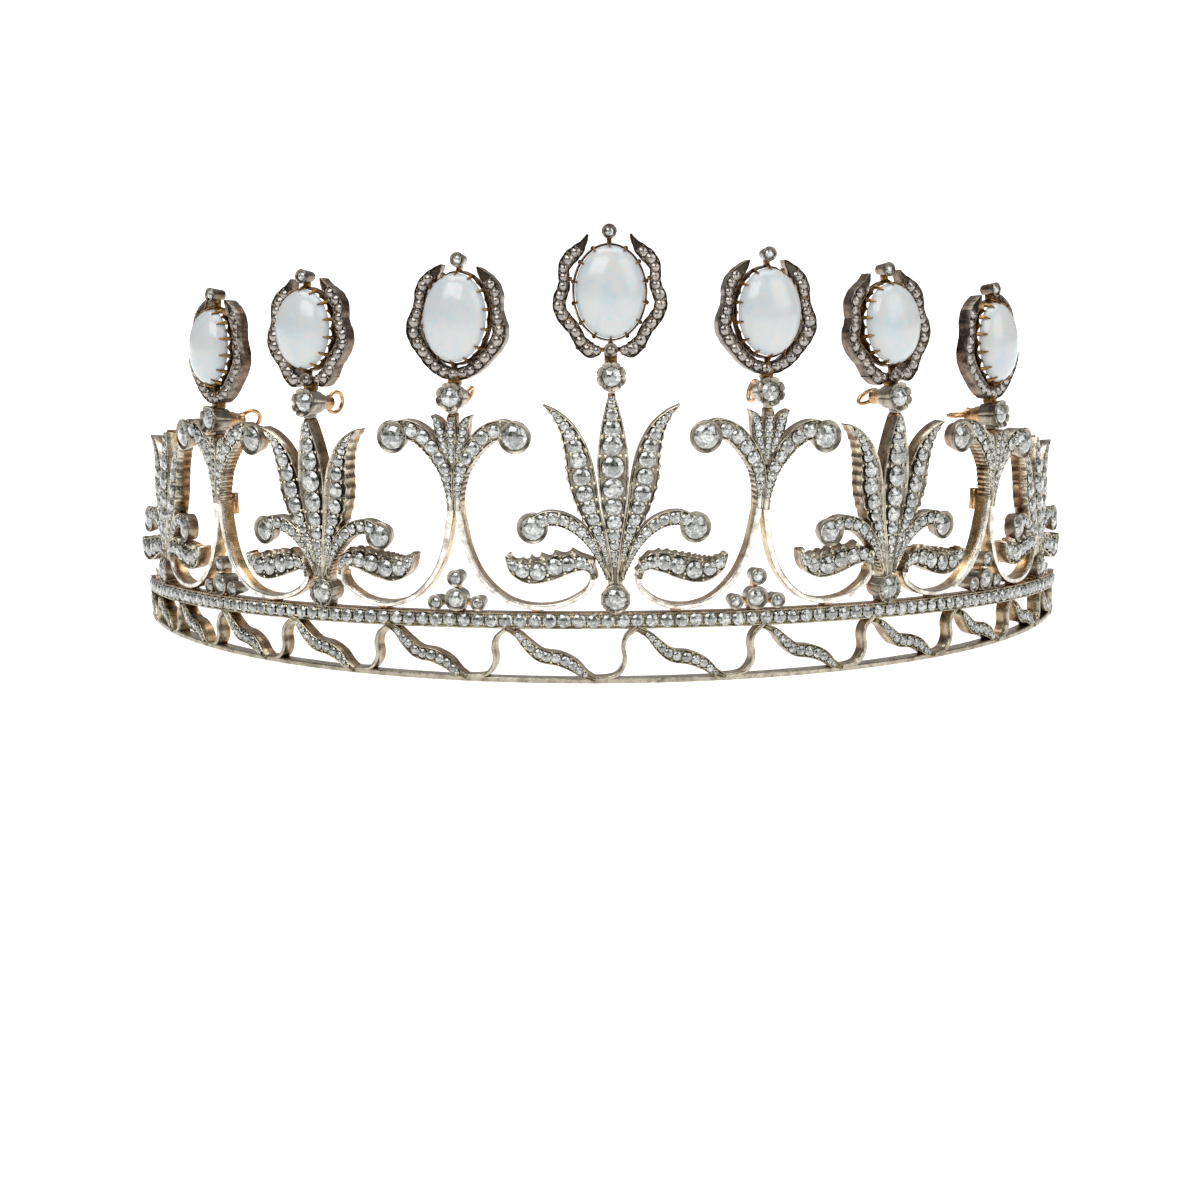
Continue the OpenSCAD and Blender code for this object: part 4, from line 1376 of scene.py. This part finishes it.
@dataclass
class Collet:
    """Tube that holds one stone under its rim, plain, clawed or fluted like petals."""

    radius: float
    front: float
    depth: float
    claws: int = 0
    petals: int = 0
    finish: Finish = COLLET
    stone_finish: Finish = DIAMOND
    cut: Setting = Setting.OLD_CUT
    held: float = 0.84
    rim: float = 0.3
    silvered: float = 0.0

    def make(self, job: Job, frame: Matrix) -> None:
        """Makes the collet and its stone.

        Args:
            job: The sub-assembly that it belongs to.
            frame: Frame of the collet, facing Z.
        """
        r, top, low = self.radius, self.front, self.front - self.depth
        wide, inner = r + self.rim, r * self.held
        dip = 0.16 + 0.1 * (r - inner)
        profile = (
            (r * 0.93, low, self.silvered, 0.0), (r * 0.97, low + 0.05, self.silvered, 0.0),
            (wide - 0.05, top - 0.4, 0.75, 0.0),
            (wide, top - 0.2, 1.0, 0.0), (wide - 0.03, top - 0.07, 1.0, 0.0), (wide - 0.12, top, 1.0, 0.0),
            (wide - 0.2, top - 0.03, 1.0, 0.1), ((wide - 0.2 + inner) / 2, top - dip, 1.0, 0.45),
            (inner + 0.03, top - dip - 0.02, 1.0, 0.3), (inner - 0.02, top - dip - 0.1, 1.0, 0.8),
            (r * 0.7, top - 0.5 * r - 0.35, 0.5, 1.0), (r * 0.7, low, 0.0, 0.6),
        )
        steps = 6 * self.petals if self.petals else (32 if r > 1 else 24)
        tube = spun(profile, steps)
        if self.petals:
            self._flute(tube, inner)
        job.metal.take(tube, self.finish, frame)
        for i in range(self.claws):
            a = math.tau * (i + 0.5) / self.claws
            out = Vector((math.cos(a), math.sin(a), 0))
            root = out * (r * 0.98 + 0.12) + Vector((0, 0, low + self.depth * 0.3))
            knee = out * (wide - 0.04) + Vector((0, 0, top - 0.1))
            tip = out * (inner - 0.12) + Vector((0, 0, top + 0.08))
            job.metal.take(rod(root, knee, 0.15, 0.16, 8, 0.9), self.finish, frame)
            job.metal.take(rod(knee, tip, 0.17, 0.07, 8, 1.0), self.finish, frame)
        job.shop.stone(job.stones, self.cut, self.stone_finish, frame @ moved(0, 0, top - dip - 0.06), inner)

    def _flute(self, tube: bmesh.types.BMesh, inner: float) -> None:
        """Draws the wall in between its petals, and raises each petal over the stone.

        Args:
            tube: The tube.
            inner: Radius of the opening that the stone shows in.
        """
        for vert in tube.verts:
            out = vert.co.xy.length
            a = math.atan2(vert.co.y, vert.co.x)
            notch = 1 - abs(math.sin(a * self.petals / 2))
            if out > self.radius * 0.9:
                vert.co.xy *= (out - 0.2 * notch**3) / out
            if vert.co.z > self.front - 0.3 and out > inner - 0.1:
                vert.co.z += 0.08 * (1 - notch) - 0.2 * notch**4


@dataclass
class Gallery:
    """Two rails, the wave between them and the end bars."""

    stone_pitch: float = 2.05
    stone_r: float = 0.98
    crest_start: float = 3.1
    crest_pitch: float = 14.3
    crest_crowding: float = 0.055

    def crest(self, i: int) -> float:
        """Returns the angle of the wave's crest i."""
        return self.crest_start + self.crest_pitch * i - self.crest_crowding * i**3

    def make(self, shop: Workshop) -> None:
        """Makes the gallery and its stones.

        Args:
            shop: The workshop.
        """
        job = Job(shop, Piece("gallery_dressed"), Piece("rail_stones_cut"))
        self._lower_rail(job.metal)
        self._upper_rail(job)
        for i in WAVES:
            self._wave(job, i)
        for side in (-1, 1):
            height = rail_under(BAND_HALF) + 0.5
            bar = box(1.1, BLOCK_D, height, 0.3)
            job.metal.take(bar, GROOVED, turned(side * (BAND_HALF - 0.5)) @ moved(0, 0, 0.1 + height / 2))
        self._seats(job.metal)
        job.metal.finish("silver", ["gallery"])
        job.stones.finish("diamond", ["rail_stones"])

    def _arc(self, section: Sequence[Corner], metal: Piece, finish: Finish, frame: Matrix) -> None:
        """Sweeps a closed section along the band.

        Args:
            section: Distance forward of the band's middle, height, silver mark, hollow mark.
            metal: Piece that gets the rail.
            finish: The rail's surface.
            frame: Frame of the band's axis.
        """
        part = blank()
        start = math.radians(-90 - BAND_HALF)
        verts = []
        for forward, height, silver, hollow in section:
            radius = BAND_R + forward
            verts.append(part.verts.new((radius * math.cos(start), radius * math.sin(start), height)))
            marked(part, verts[-1:], silver, hollow)
        face = part.faces.new(verts)
        whole = [face, *face.edges, *face.verts]
        turn = math.radians(2 * BAND_HALF)
        bmesh.ops.spin(
            part, geom=whole, cent=(0, 0, 0), axis=(0, 0, 1), angle=turn, steps=BAND_STEPS, use_duplicate=False
        )
        metal.take(part, finish, frame)

    def _lower_rail(self, metal: Piece) -> None:
        """Makes the thin band that the tiara stands on.

        Args:
            metal: Piece that gets the metal.
        """
        d, h, e = LOWER_D / 2, LOWER_H, 0.14
        self._arc(
            ((-d, e, 0.2, 0), (e - d, 0, 0.2, 0), (d - e, 0, 0.9, 0), (d, e, 1, 0),
             (d, h - e, 1, 0), (d - e, h, 1, 0), (0.2, h, 0.8, 0.0), (e - d, h, 0.4, 0), (-d, h - e, 0.3, 0)),
            metal,
            RAIL,
            moved(0, BAND_R, 0),
        )

    def _upper_rail(self, job: Job) -> None:
        """Makes the stone-set rail with its gadrooned top edge.

        Args:
            job: The sub-assembly that it belongs to.
        """
        shop, metal = job.shop, job.metal
        d, h, e = RAIL_D / 2, RAIL_H, 0.2
        lip = 0.26
        section = (
            (-d, e, 0, 0), (e - d, 0, 0.1, 0), (d - 0.5, 0, 0.5, 0), (d - 0.12, 0.04, 1, 0), (d, 0.12, 1, 0),
            (d, lip - 0.04, 1, 0), (d - 0.05, lip + 0.02, 1, 0), (d - 0.28, lip + 0.06, 1, 0.6),
            (d - 0.3, h / 2, 1, 0.8), (d - 0.28, h - lip - 0.06, 1, 0.6), (d - 0.05, h - lip - 0.02, 1, 0),
            (d, h - lip + 0.04, 1, 0), (d, h - 0.14, 0.9, 0), (d - 0.1, h - 0.06, 0.6, 0), (d - 0.5, h, 0.2, 0),
            (e - d, h, 0, 0), (-d, h - e, 0, 0),
        )
        ring = moved(0, BAND_R, RAIL_Z - RAIL_DROP) @ tilted(-RAIL_SLOPE, "X")
        self._arc(section, metal, GROOVED, ring)
        pitch = math.degrees(self.stone_pitch / BAND_R)
        count = math.floor((BAND_HALF - 1.2) / pitch)
        for i in range(-count, count + 1):
            seat = ring @ tilted(i * pitch, "Z") @ moved(0, -BAND_R, h / 2) @ TO_FRONT
            radius = self.stone_r * shop.chance.uniform(0.95, 1.03)
            shop.stone(job.stones, Setting.OLD_CUT, DIAMOND, seat @ moved(0, 0, d - 0.06), radius)
            between = ring @ tilted((i + 0.5) * pitch, "Z") @ moved(0, -BAND_R, h / 2) @ TO_FRONT
            for up in (-0.62, 0.62):
                for side in (-0.17, 0.17):
                    shop.grain(metal, GROOVED, between @ moved(side, up, d - 0.14), 0.19)
        # Gadroons along the rail's top edge, about one to each half millimetre of stone
        lobes = 3 * (2 * count + 1)
        step = 2 * (BAND_HALF - 1.5) / lobes
        for i in range(lobes):
            spot = ring @ tilted((i + 0.5) * step - BAND_HALF + 1.5, "Z") @ moved(0, -BAND_R, 0)
            place = spot @ moved(0, -d + 0.36, h - 0.12)
            metal.stamp(shop.patterns.lobe, GROOVED, place @ Matrix.Diagonal((0.27, 0.15, 0.17, 1)))

    def _wave(self, job: Job, i: int) -> None:
        """Makes one wave between two crests.

        Args:
            job: The sub-assembly that it belongs to.
            i: Number of the crest that it starts at.
        """
        sx = math.radians(self.crest(i + 1) - self.crest(i)) * FACE_R / WAVE_W
        sz = rail_under((self.crest(i) + self.crest(i + 1)) / 2) / RAIL_Z
        bench = Bench(turned(self.crest(i)))
        WAVE.lay(job, bench, sx, sz, WAVE_MIDDLE)
        x = WAVE_BEND * sx
        ribbon = PlainRibbon(fitted(WAVE_RIBBON, sx, sz, x), RIBBON_D / 2 - 0.05, RIBBON_D - 0.1, RAIL)
        ribbon.make(job.metal, bench.along(x), bent=False)

    def _seats(self, metal: Piece) -> None:
        """Makes the solder seats of the motifs.

        Args:
            metal: Piece that gets the metal.
        """
        places = [(m.bench().frame, 1.7) for m in MOTIFS]
        for m in MOTIFS[1::2]:
            bench = m.bench()
            places += [(side.along(LOOP_FOOT), 1.4) for side in (bench, bench.mirrored())]
        for m, sign in ((MOTIFS[0], -1), (MOTIFS[8], 1)):
            places.append((m.bench().along(sign * CURL_FOOT * m.width), 1.2))
        for frame, width in places:
            metal.take(box(width, 1.5, 0.9, 0.5), SILVER, frame @ moved(0, 0.25, SEAT_H - 0.45))


def end_scroll(job: Job, bench: Bench, sx: float, sz: float) -> None:
    """Makes the low leaf and curl that close the band's end.

    Args:
        job: The sub-assembly that they belong to.
        bench: Frame of the end palmette's outer side.
        sx: Stretch across.
        sz: Stretch up.
    """
    TOOTHED.lay(job, bench, sx, sz, LOW_MIDDLE)
    job.block(bench, 1.8 * sx, 4.7 * sz, 3.2 * sx, 0.9)
    PlainRibbon(fitted(END_CURL, sx, sz, 0, bench.lean)).make(job.metal, bench.frame, bent=True)
    job.foot(bench.shifted(CURL_FOOT * sx), 1.2)


@dataclass
class Palmette:
    """Centre leaf, two side leaves, two scroll arms and a base collet."""

    number: int

    def make(self, shop: Workshop, stones: Piece) -> None:
        """Makes the palmette.

        Args:
            shop: The workshop.
            stones: Piece that gets the stones of all palmettes.
        """
        job = Job(shop, Piece(f"palmette_{self.number}_dressed"), stones)
        base = Piece(f"base_stone_{self.number}_cut")
        m = MOTIFS[2 * self.number - 2]
        bench, sx, sz = m.bench(), m.width, m.stretch(PALMETTE_TOP)
        top = m.height - SEAT_DROP
        CENTRE.lay(job, bench, sx, sz)
        for side in (bench, bench.mirrored()):
            SIDE.lay(job, side, sx, sz, SIDE_MIDDLE)
            SCROLL.lay(job, side, sx, sz, SCROLL_MIDDLE)
            end = Collet(SCROLL_END[2] * sx, ARM_FRONT + 0.1, 2.0, held=0.94, rim=0.46)
            end.make(job, side.facing(SCROLL_END[0] * sx, SCROLL_END[1] * sz))
        if self.number in (1, 5):
            end_scroll(job, bench.mirrored() if self.number == 1 else bench, sx, sz)
        base_z = SEAT_H + BASE_STONE_R + 0.32
        collet = Collet(BASE_STONE_R, BASE_FRONT, LEAF_D + 1, claws=10, held=0.95, rim=0.45)
        collet.make(Job(shop, job.metal, base), bench.facing(0, base_z))
        job.foot(bench, 1.8)
        job.block(bench, 0, base_z + BASE_STONE_R - 0.2, 2.2, 1.4, 0.8)
        job.block(bench, bench.lean * top, top - 1.2, 1.1, 1.2)
        job.metal.finish("silver", [f"palmette_{self.number}"])
        base.finish("diamond", [f"base_stone_{self.number}"])


@dataclass
class ScrollPair:
    """Two upper arms, a fleur, two ribbon loops with their low leaves and the fitting tube."""

    number: int

    def make(self, shop: Workshop, stones: Piece) -> None:
        """Makes the scroll pair.

        Args:
            shop: The workshop.
            stones: Piece that gets the stones of all scroll pairs.
        """
        job = Job(shop, Piece(f"scroll_pair_{self.number}_dressed"), stones)
        k = 2 * self.number - 1
        m = MOTIFS[k]
        bench, sz = m.bench(), m.stretch(SCROLL_TOP)
        top = m.height - SEAT_DROP
        left = (bench.mirrored(), m.left_arm, MOTIFS[k - 1], TOOTHED)
        for side, arm, beside, low in ((bench, m.right_arm, MOTIFS[k + 1], CLAWED), left):
            distance = math.radians(abs(beside.angle - m.angle)) * FACE_R
            rows = fitted(LOOP, distance / MOTIF_GAP, sz, 0, side.lean)
            PlainRibbon(rows).make(job.metal, side.frame, bent=True)
            low.lay(job, side.shifted(distance).mirrored(), 1.0, sz, LOW_MIDDLE)
            job.foot(side.shifted(LOOP_FOOT), 1.4)
            UPPER.lay(job, side, 1.0, arm, UPPER_MIDDLE)
            end = Collet(ARM_END[2], ARM_FRONT + 0.1, 2.2, held=0.94, rim=0.48)
            end.make(job, side.facing(ARM_END[0], ARM_END[1] * arm))
            FLEUR.lay(job, side, 1.0, sz, FLEUR_LEAF_MIDDLE)
        FLEUR_CENTRE.lay(job, bench, 1.0, sz)
        job.block(bench, bench.lean * top, top - 1.5, 1.3, 1.5)
        self._fitting(job.metal, bench, FITTING_Z * sz)
        job.metal.finish("silver", [f"scroll_pair_{self.number}"])

    def _fitting(self, metal: Piece, bench: Bench, z: float) -> None:
        """Makes the gold tube and wedge behind the stem.

        Args:
            metal: Piece that gets the metal.
            bench: Frame of the motif.
            z: Height of the lower end.
        """
        frame = bench.frame @ moved(bench.lean * z, 0, z)
        bore, outer, height = FITTING_BORE, FITTING_R, FITTING_H
        profile = (
            (outer - 0.06, 0, 0, 0), (outer, 0.08, 0, 0), (outer, height - 0.08, 0, 0), (outer - 0.06, height, 0, 0),
            (bore, height, 0, 0.4), (bore, 0, 0, 0.4),
        )
        metal.take(spun(profile, 24), ROSE_GOLD, frame @ moved(0, RIBBON_D / 2 + outer + 0.1, 0))
        metal.take(box(0.8, RIBBON_D / 2 + 0.3, height - 0.2), ROSE_GOLD, frame @ moved(0, 0.9, height / 2))


@dataclass
class TrefoilCluster:
    """Four collets at the foot of a scroll pair."""

    number: int

    def make(self, shop: Workshop, stones: Piece) -> None:
        """Makes the cluster.

        Args:
            shop: The workshop.
            stones: Piece that gets the stones of all clusters.
        """
        job = Job(shop, Piece(f"trefoil_{self.number}_dressed"), stones)
        bench = MOTIFS[2 * self.number - 1].bench()
        for x, z, radius in TREFOIL:
            Collet(radius, BASE_FRONT - 0.2, 2.8, silvered=0.7).make(job, bench.facing(x, z))
        job.foot(bench, 1.8)
        for width, height, z in ((0.8, 1.2, 3.6), (5.2, 0.8, 1.3)):
            job.metal.take(box(width, 1.6, height), ROSE_GOLD, bench.frame @ moved(0, 0, z))
        job.metal.finish("silver", [f"trefoil_{self.number}"])


@dataclass
class OpalHead:
    """An opal in its cup and garland, the collet below it and the screw behind."""

    number: int
    lean: float
    size: float
    opal_w: float
    opal_h: float
    rise: float
    garland: Garland
    ring_turn: float
    forward: float

    @property
    def half_width(self) -> float:
        """Returns half the opal's width."""
        return OPAL_A * self.opal_w

    @property
    def half_height(self) -> float:
        """Returns half the opal's height."""
        return OPAL_B * self.opal_h

    def frames(self) -> tuple[Matrix, Matrix]:
        """Returns the frames of the collet stone and of the opal.

        Returns:
            Both frames.
        """
        m = MOTIFS[self.number]
        bench = m.bench()
        head = (
            bench.frame
            @ moved(bench.lean * m.height, -self.forward, m.height)
            @ tilted(m.lean + self.lean, "Y")
            @ tilted(-HEAD_TILT, "X")
        )
        return head, head @ moved(0, 0, OPAL_RISE * self.rise)

    def make(self, shop: Workshop, stones: Piece) -> None:
        """Makes the head.

        Args:
            shop: The workshop.
            stones: Piece that gets the bead stones of all heads.
        """
        head, opal = self.frames()
        job = Job(shop, Piece(f"opal_mount_{self.number}_dressed"), stones)
        small = Piece(f"garland_{self.number}_stones")
        self._garland(Job(shop, job.metal, small), opal)
        self._cup(job.metal, opal)
        beads = [(TOP_BEAD, Collet(TOP_BEAD[2], BEAD_FRONT, 2.6, finish=DARK))]
        if self.garland is Garland.OPEN:
            under = Collet(FOOT_BEAD[2], GARLAND_FRONT + 0.6, 1.7, finish=DARK, stone_finish=SMOKY, held=0.95, rim=0.4)
            beads.append((FOOT_BEAD, under))
        for (_, z, _), bead in beads:
            bead.make(job, opal @ moved(0, 0, z * self.size) @ TO_FRONT)
        self._struts(job.metal, opal)
        self._foot(job.metal, head)
        collet_stone = Piece(f"collet_stone_{self.number}_cut")
        collet = Collet(COLLET_STONE_R, 1.1, 3.4, petals=8, held=0.8, rim=0.42, cut=Setting.ROSE_CUT, silvered=0.5)
        collet.make(Job(shop, job.metal, collet_stone), head @ TO_FRONT)
        job.metal.finish("dark_silver", [f"opal_mount_{self.number}"])
        small.finish("diamond")
        collet_stone.finish("diamond", [f"collet_stone_{self.number}"])
        self._opal(opal)
        self._screw(head)

    def _garland(self, job: Job, opal: Matrix) -> None:
        """Makes the wavy garland with its closed-set stones.

        Args:
            job: The head's metal and the garland's stones.
            opal: Frame of the opal.
        """
        arm = replace(CLOSED_SET, flutes=Flutes(Facing.BOTH, 1.5 * self.size, 0.09))
        lines = [(Matrix.Identity(4), replace(arm, rows=tip_to_tip(CLOSED_ARM), stones_to=2.0))]
        if self.garland is Garland.OPEN:
            arm = replace(arm, rows=OPEN_ARM, stones_to=-0.2)
            lines = [(way, leaf) for leaf in (arm, TIP) for way in (MIRROR, Matrix.Identity(4))]
        for way, leaf in lines:
            fitting = replace(leaf, rows=fitted(leaf.rows, self.size, self.size))
            fitting.make(job, opal @ way @ TO_FRONT)
        if self.garland is Garland.OPEN:
            place = opal @ moved(0, 1.0, (FOOT_BEAD[1] + 0.05) * self.size)
            job.metal.take(box(3.6 * self.size, 1.2, 0.7 * self.size), CUP, place)

    def _cup(self, metal: Piece, opal: Matrix) -> None:
        """Makes the scalloped collar and its claws.

        Args:
            metal: Piece that gets the metal.
            opal: Frame of the opal.
        """
        frame = opal @ moved(0, -GIRDLE_FRONT, 0) @ TO_FRONT
        count = CLAWS * 10
        low = -OPAL_BACK - 0.2
        sections: list[list[Vector]] = []
        for out, peak, dip in ((0.06, low, low), (0.44, low, low), (0.27, 0.05, -0.7), (0.05, 0.05, -0.7)):
            ring = []
            for i in range(count):
                a = math.tau * i / count
                share = abs(math.cos(math.pi * (i / 10 - 0.5))) ** 0.6
                rise = peak + (dip - peak) * share
                across, up = (self.half_width + out) * math.cos(a), (self.half_height + out) * math.sin(a)
                ring.append(Vector((across, up, rise)))
            sections.append(ring)
        metal.take(ringed(sections, ((0, 0.5), (0.2, 0), (1, 0), (0.8, 0.3))), CUP, frame)
        for i in range(CLAWS):
            a = math.tau * (i + 0.5) / CLAWS
            ellipse = Vector((math.cos(a) * self.half_width, math.sin(a) * self.half_height, 0))
            outward = Vector((math.cos(a) / self.half_width, math.sin(a) / self.half_height, 0)).normalized()
            root = ellipse + outward * 0.32 + Vector((0, 0, -0.45))
            knee = ellipse + outward * 0.17 + Vector((0, 0, 0.36))
            tip = ellipse - outward * 0.18 + Vector((0, 0, 0.96))
            metal.take(rod(root, knee, 0.36, 0.2, 10, 0.9), CUP, frame)
            metal.take(rod(knee, tip, 0.21, 0.1, 10, 1.0), CUP, frame)
            for place, radius in ((knee, 0.2), (tip, 0.11)):
                grain = blank()
                bmesh.ops.create_icosphere(grain, subdivisions=2, radius=radius, matrix=Matrix.Translation(place))
                marked(grain, grain.verts, 1.0, 0.0)
                metal.take(grain, CUP, frame)

    def _struts(self, metal: Piece, opal: Matrix) -> None:
        """Makes the struts and brackets between the collar, the garland and the beads.

        Args:
            metal: Piece that gets the metal.
            opal: Frame of the opal.
        """
        for side in (-1, 1):
            for z in (-3.6, 1.9):
                start = Vector((side * (self.half_width + 0.35), 0.65, z * self.size))
                end = start + Vector((side * (6.2 * self.size - self.half_width), 0, 0))
                metal.take(rod(start, end, 0.3, 0.3, 10, 0.2), CUP, opal)
        reach = TOP_BEAD[1] * self.size - self.half_height - TOP_BEAD[2] - 0.2
        metal.take(box(0.7, 1.1, reach), CUP, opal @ moved(0, 0.55, self.half_height + 0.3 + reach / 2))
        low = GARLAND_FOOT * self.size - self.half_height - 0.3
        metal.take(box(0.7, 0.9, low), CUP, opal @ moved(0, 0.65, low / 2 - GARLAND_FOOT * self.size))

    def _foot(self, metal: Piece, head: Matrix) -> None:
        """Makes the screw tube, the neck and the foot.

        Args:
            metal: Piece that gets the metal.
            head: Frame of the collet stone.
        """
        m = MOTIFS[self.number]
        bench = m.bench()
        profile = (
            (0.6, TUBE_END, 0, 0.5), (1.2, TUBE_END, 0, 0), (1.25, -3.3, 0, 0), (1.25, TUBE_START, 0.2, 0),
            (0.6, TUBE_START, 0, 0.5),
        )
        metal.take(spun(profile, 24), ROSE_GOLD, head @ TO_FRONT)
        reach = OPAL_RISE * self.rise - GARLAND_FOOT * self.size - 1.2
        metal.take(box(1.8, 1.6, reach), CUP, head @ moved(0, 1.0, 1.6 + reach / 2))
        z = m.height - SEAT_DROP
        metal.take(box(1.0, RIBBON_D - 0.2, 0.9, 0.8), COLLET, bench.frame @ moved(bench.lean * z, 0, z + 0.45))

    def _opal(self, opal: Matrix) -> None:
        """Makes the cabochon: a dome over a shallower underside.

        Args:
            opal: Frame of the opal.
        """
        stone = Piece(f"opal_{self.number}_polished")
        part = blank()
        verts = bmesh.ops.create_uvsphere(part, u_segments=64, v_segments=40, radius=1.0)["verts"]
        for vert in verts:
            flat = vert.co.xy.length
            if vert.co.z > 0 and flat > 1e-6:
                vert.co.xy *= flat**0.9 / flat
            vert.co.z *= OPAL_DOME if vert.co.z > 0 else OPAL_BACK
        bmesh.ops.scale(part, vec=(self.half_width, self.half_height, 1), verts=verts)
        stone.take(part, OPAL, opal @ moved(0, -GIRDLE_FRONT, 0) @ TO_FRONT)
        stone.finish("opal", [f"opal_{self.number}"])

    def _screw(self, head: Matrix) -> None:
        """Makes the thumbscrew: shank, nut and open ring.

        Args:
            head: Frame of the collet stone.
        """
        metal = Piece(f"thumbscrew_{self.number}_gold")
        frame = head @ TO_FRONT @ tilted(self.ring_turn, "Z")
        back = TUBE_END
        nut_top, nut_low = back - 0.06, back - 1.76
        nut = spun(
            ((0.4, nut_top, 0.5, 0), (1.0, nut_top, 0.5, 0), (1.14, nut_top - 0.12, 0.5, 0),
             (1.0, nut_top - 0.5, 0.4, 0.2), (1.0, nut_low + 0.5, 0.4, 0.2), (1.12, nut_low + 0.14, 0.5, 0),
             (0.98, nut_low, 0.5, 0), (0.4, nut_low, 0.5, 0)),
            32,
        )
        metal.take(nut, ROSE_GOLD, frame)
        shank = rod(Vector((0, 0, back + 1.4)), Vector((0, 0, back - 1.6)), SHANK_R, SHANK_R, 20, 0.5)
        metal.take(shank, ROSE_GOLD, frame)
        section = []
        for i in range(12):
            a = math.tau * i / 12
            section.append((RING_R + RING_WIRE_R * math.cos(a), RING_WIRE_R * math.sin(a), 0.5, 0.0))
        place = frame @ moved(0, 0, back - 1.6 - RING_R) @ Matrix.Diagonal((1, 1, 1.15, 1)) @ tilted(90, "X")
        metal.take(spun(section, 40), ROSE_GOLD, place)
        metal.finish("gold", [f"thumbscrew_{self.number}"])


HEADS: Sequence[OpalHead] = (
    OpalHead(1, -2.6, 0.925, 0.87, 0.865, 0.92, Garland.CLOSED, 65, 1.0),
    OpalHead(2, 1.3, 0.90, 0.955, 0.885, 0.90, Garland.OPEN, 80, 0.4),
    OpalHead(3, 2.9, 0.965, 0.945, 0.97, 0.95, Garland.CLOSED, 60, 0.4),
    OpalHead(4, 0.4, 1.0, 1.0, 1.0, 1.0, Garland.OPEN, 35, 0),
    OpalHead(5, -2.8, 0.965, 0.945, 0.955, 0.95, Garland.CLOSED, 75, 0),
    OpalHead(6, -6.5, 0.93, 0.955, 0.90, 0.90, Garland.OPEN, 35, 0),
    OpalHead(7, -4.2, 0.935, 0.87, 0.92, 0.92, Garland.CLOSED, 5, 0.5),
)


# Name, place, width and height in millimetres, and power in watts of each soft light
LIGHTS: Sequence[tuple[str, Row, Span, float]] = (
    ("key", (-420, -620, 760), (820, 620), 7.0),
    ("fill", (620, -420, 460), (600, 700), 3.2),
    ("top", (0, 120, 700), (700, 500), 3.4),
)
AIM = Vector((0, 20, 25)) * MM


@dataclass
class Studio:
    """White board, soft lights and the camera."""

    camera_at: Vector = field(default_factory=lambda: Vector((-5.175, -376.1, 75.225)))
    yaw: float = -0.612
    pitch: float = -9.57
    roll: float = 0.302
    lens: float = 81.15
    glow: float = 0.42

    def build(self) -> None:
        """Sets up the floor, the lights, the surroundings and the camera."""
        self._floor()
        self._surroundings()
        for light in LIGHTS:
            self._light(*light)
        self._camera()
        bpy.context.scene.view_settings.view_transform = "Standard"

    def _floor(self) -> None:
        """Lays the white board under the tiara."""
        part = blank()
        bmesh.ops.create_grid(part, x_segments=8, y_segments=8, size=BOARD_HALF)
        mesh = bpy.data.meshes.new("white_board")
        part.to_mesh(mesh)
        part.free()
        mesh.materials.append(BOARD.material())
        linked("white_board", mesh)

    def _surroundings(self) -> None:
        """Makes a white room that is darker where the photographer stands."""
        world = bpy.data.worlds.new("studio")
        bpy.context.scene.world = world
        world.use_nodes = True
        tree = world.node_tree
        tree.nodes.clear()
        where = add_node(tree, "TexCoord", {})
        split = add_node(tree, "SeparateXYZ", {"Vector": (where, "Generated")})
        shade = ramp(tree, (split, "Y"), ((0.0, "#6c6e70"), (0.25, "#a6a9ab"), (0.6, "#ffffff")))
        seen = add_node(tree, "LightPath", {}), "Is Camera Ray"
        inputs = {
            "Color": mixed(tree, seen, shade, (1.0, 1.0, 1.0, 1.0)),
            "Strength": ranged(tree, seen, (0.0, 1.0), (self.glow, 1.05)),
        }
        glow = add_node(tree, "Background", inputs)
        add_node(tree, "OutputWorld", {"Surface": (glow, "Background")})

    def _light(self, name: str, place: Row, size: Span, power: float) -> None:
        """Hangs a soft light that faces the tiara.

        Args:
            name: Its name.
            place: Its place in millimetres.
            size: Its width and height in millimetres.
            power: Its power in watts.
        """
        data = bpy.data.lights.new(name, "AREA")
        data.shape = "RECTANGLE"
        data.size, data.size_y = size[0] * MM, size[1] * MM
        data.energy = power
        lamp = linked(name, data)
        spot = Vector(place) * MM
        lamp.matrix_world = Matrix.Translation(spot) @ (spot - AIM).to_track_quat("Z", "Y").to_matrix().to_4x4()

    def _camera(self) -> None:
        """Puts the camera where the photograph was taken from."""
        turn = tilted(self.yaw, "Z") @ tilted(self.pitch, "X") @ tilted(self.roll, "Y")
        data = bpy.data.cameras.new("camera")
        data.sensor_width = 36.0
        data.lens = self.lens
        data.clip_start, data.clip_end = 0.01, 50.0
        camera = linked("camera", data)
        camera.matrix_world = Matrix.Translation(self.camera_at * MM) @ turn @ tilted(90, "X")
        bpy.context.scene.camera = camera


def main() -> None:
    """Builds the tiara's looks round its frame."""
    logging.basicConfig(level=logging.INFO, format="%(name)s: %(message)s")
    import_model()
    chance = random.Random(SEED)
    shop = Workshop(Patterns(chance), chance)
    Gallery().make(shop)
    fields = ("palmette_stones", "scroll_stones", "trefoil_stones", "head_stones")
    shared = {name: Piece(f"{name}_cut") for name in fields}
    for number in range(1, 6):
        Palmette(number).make(shop, shared["palmette_stones"])
    for number in range(1, 5):
        ScrollPair(number).make(shop, shared["scroll_stones"])
        TrefoilCluster(number).make(shop, shared["trefoil_stones"])
    for head in HEADS:
        head.make(shop, shared["head_stones"])
    for name, piece in shared.items():
        piece.finish("diamond", [name])
    Studio().build()


if __name__ == "__main__":
    main()
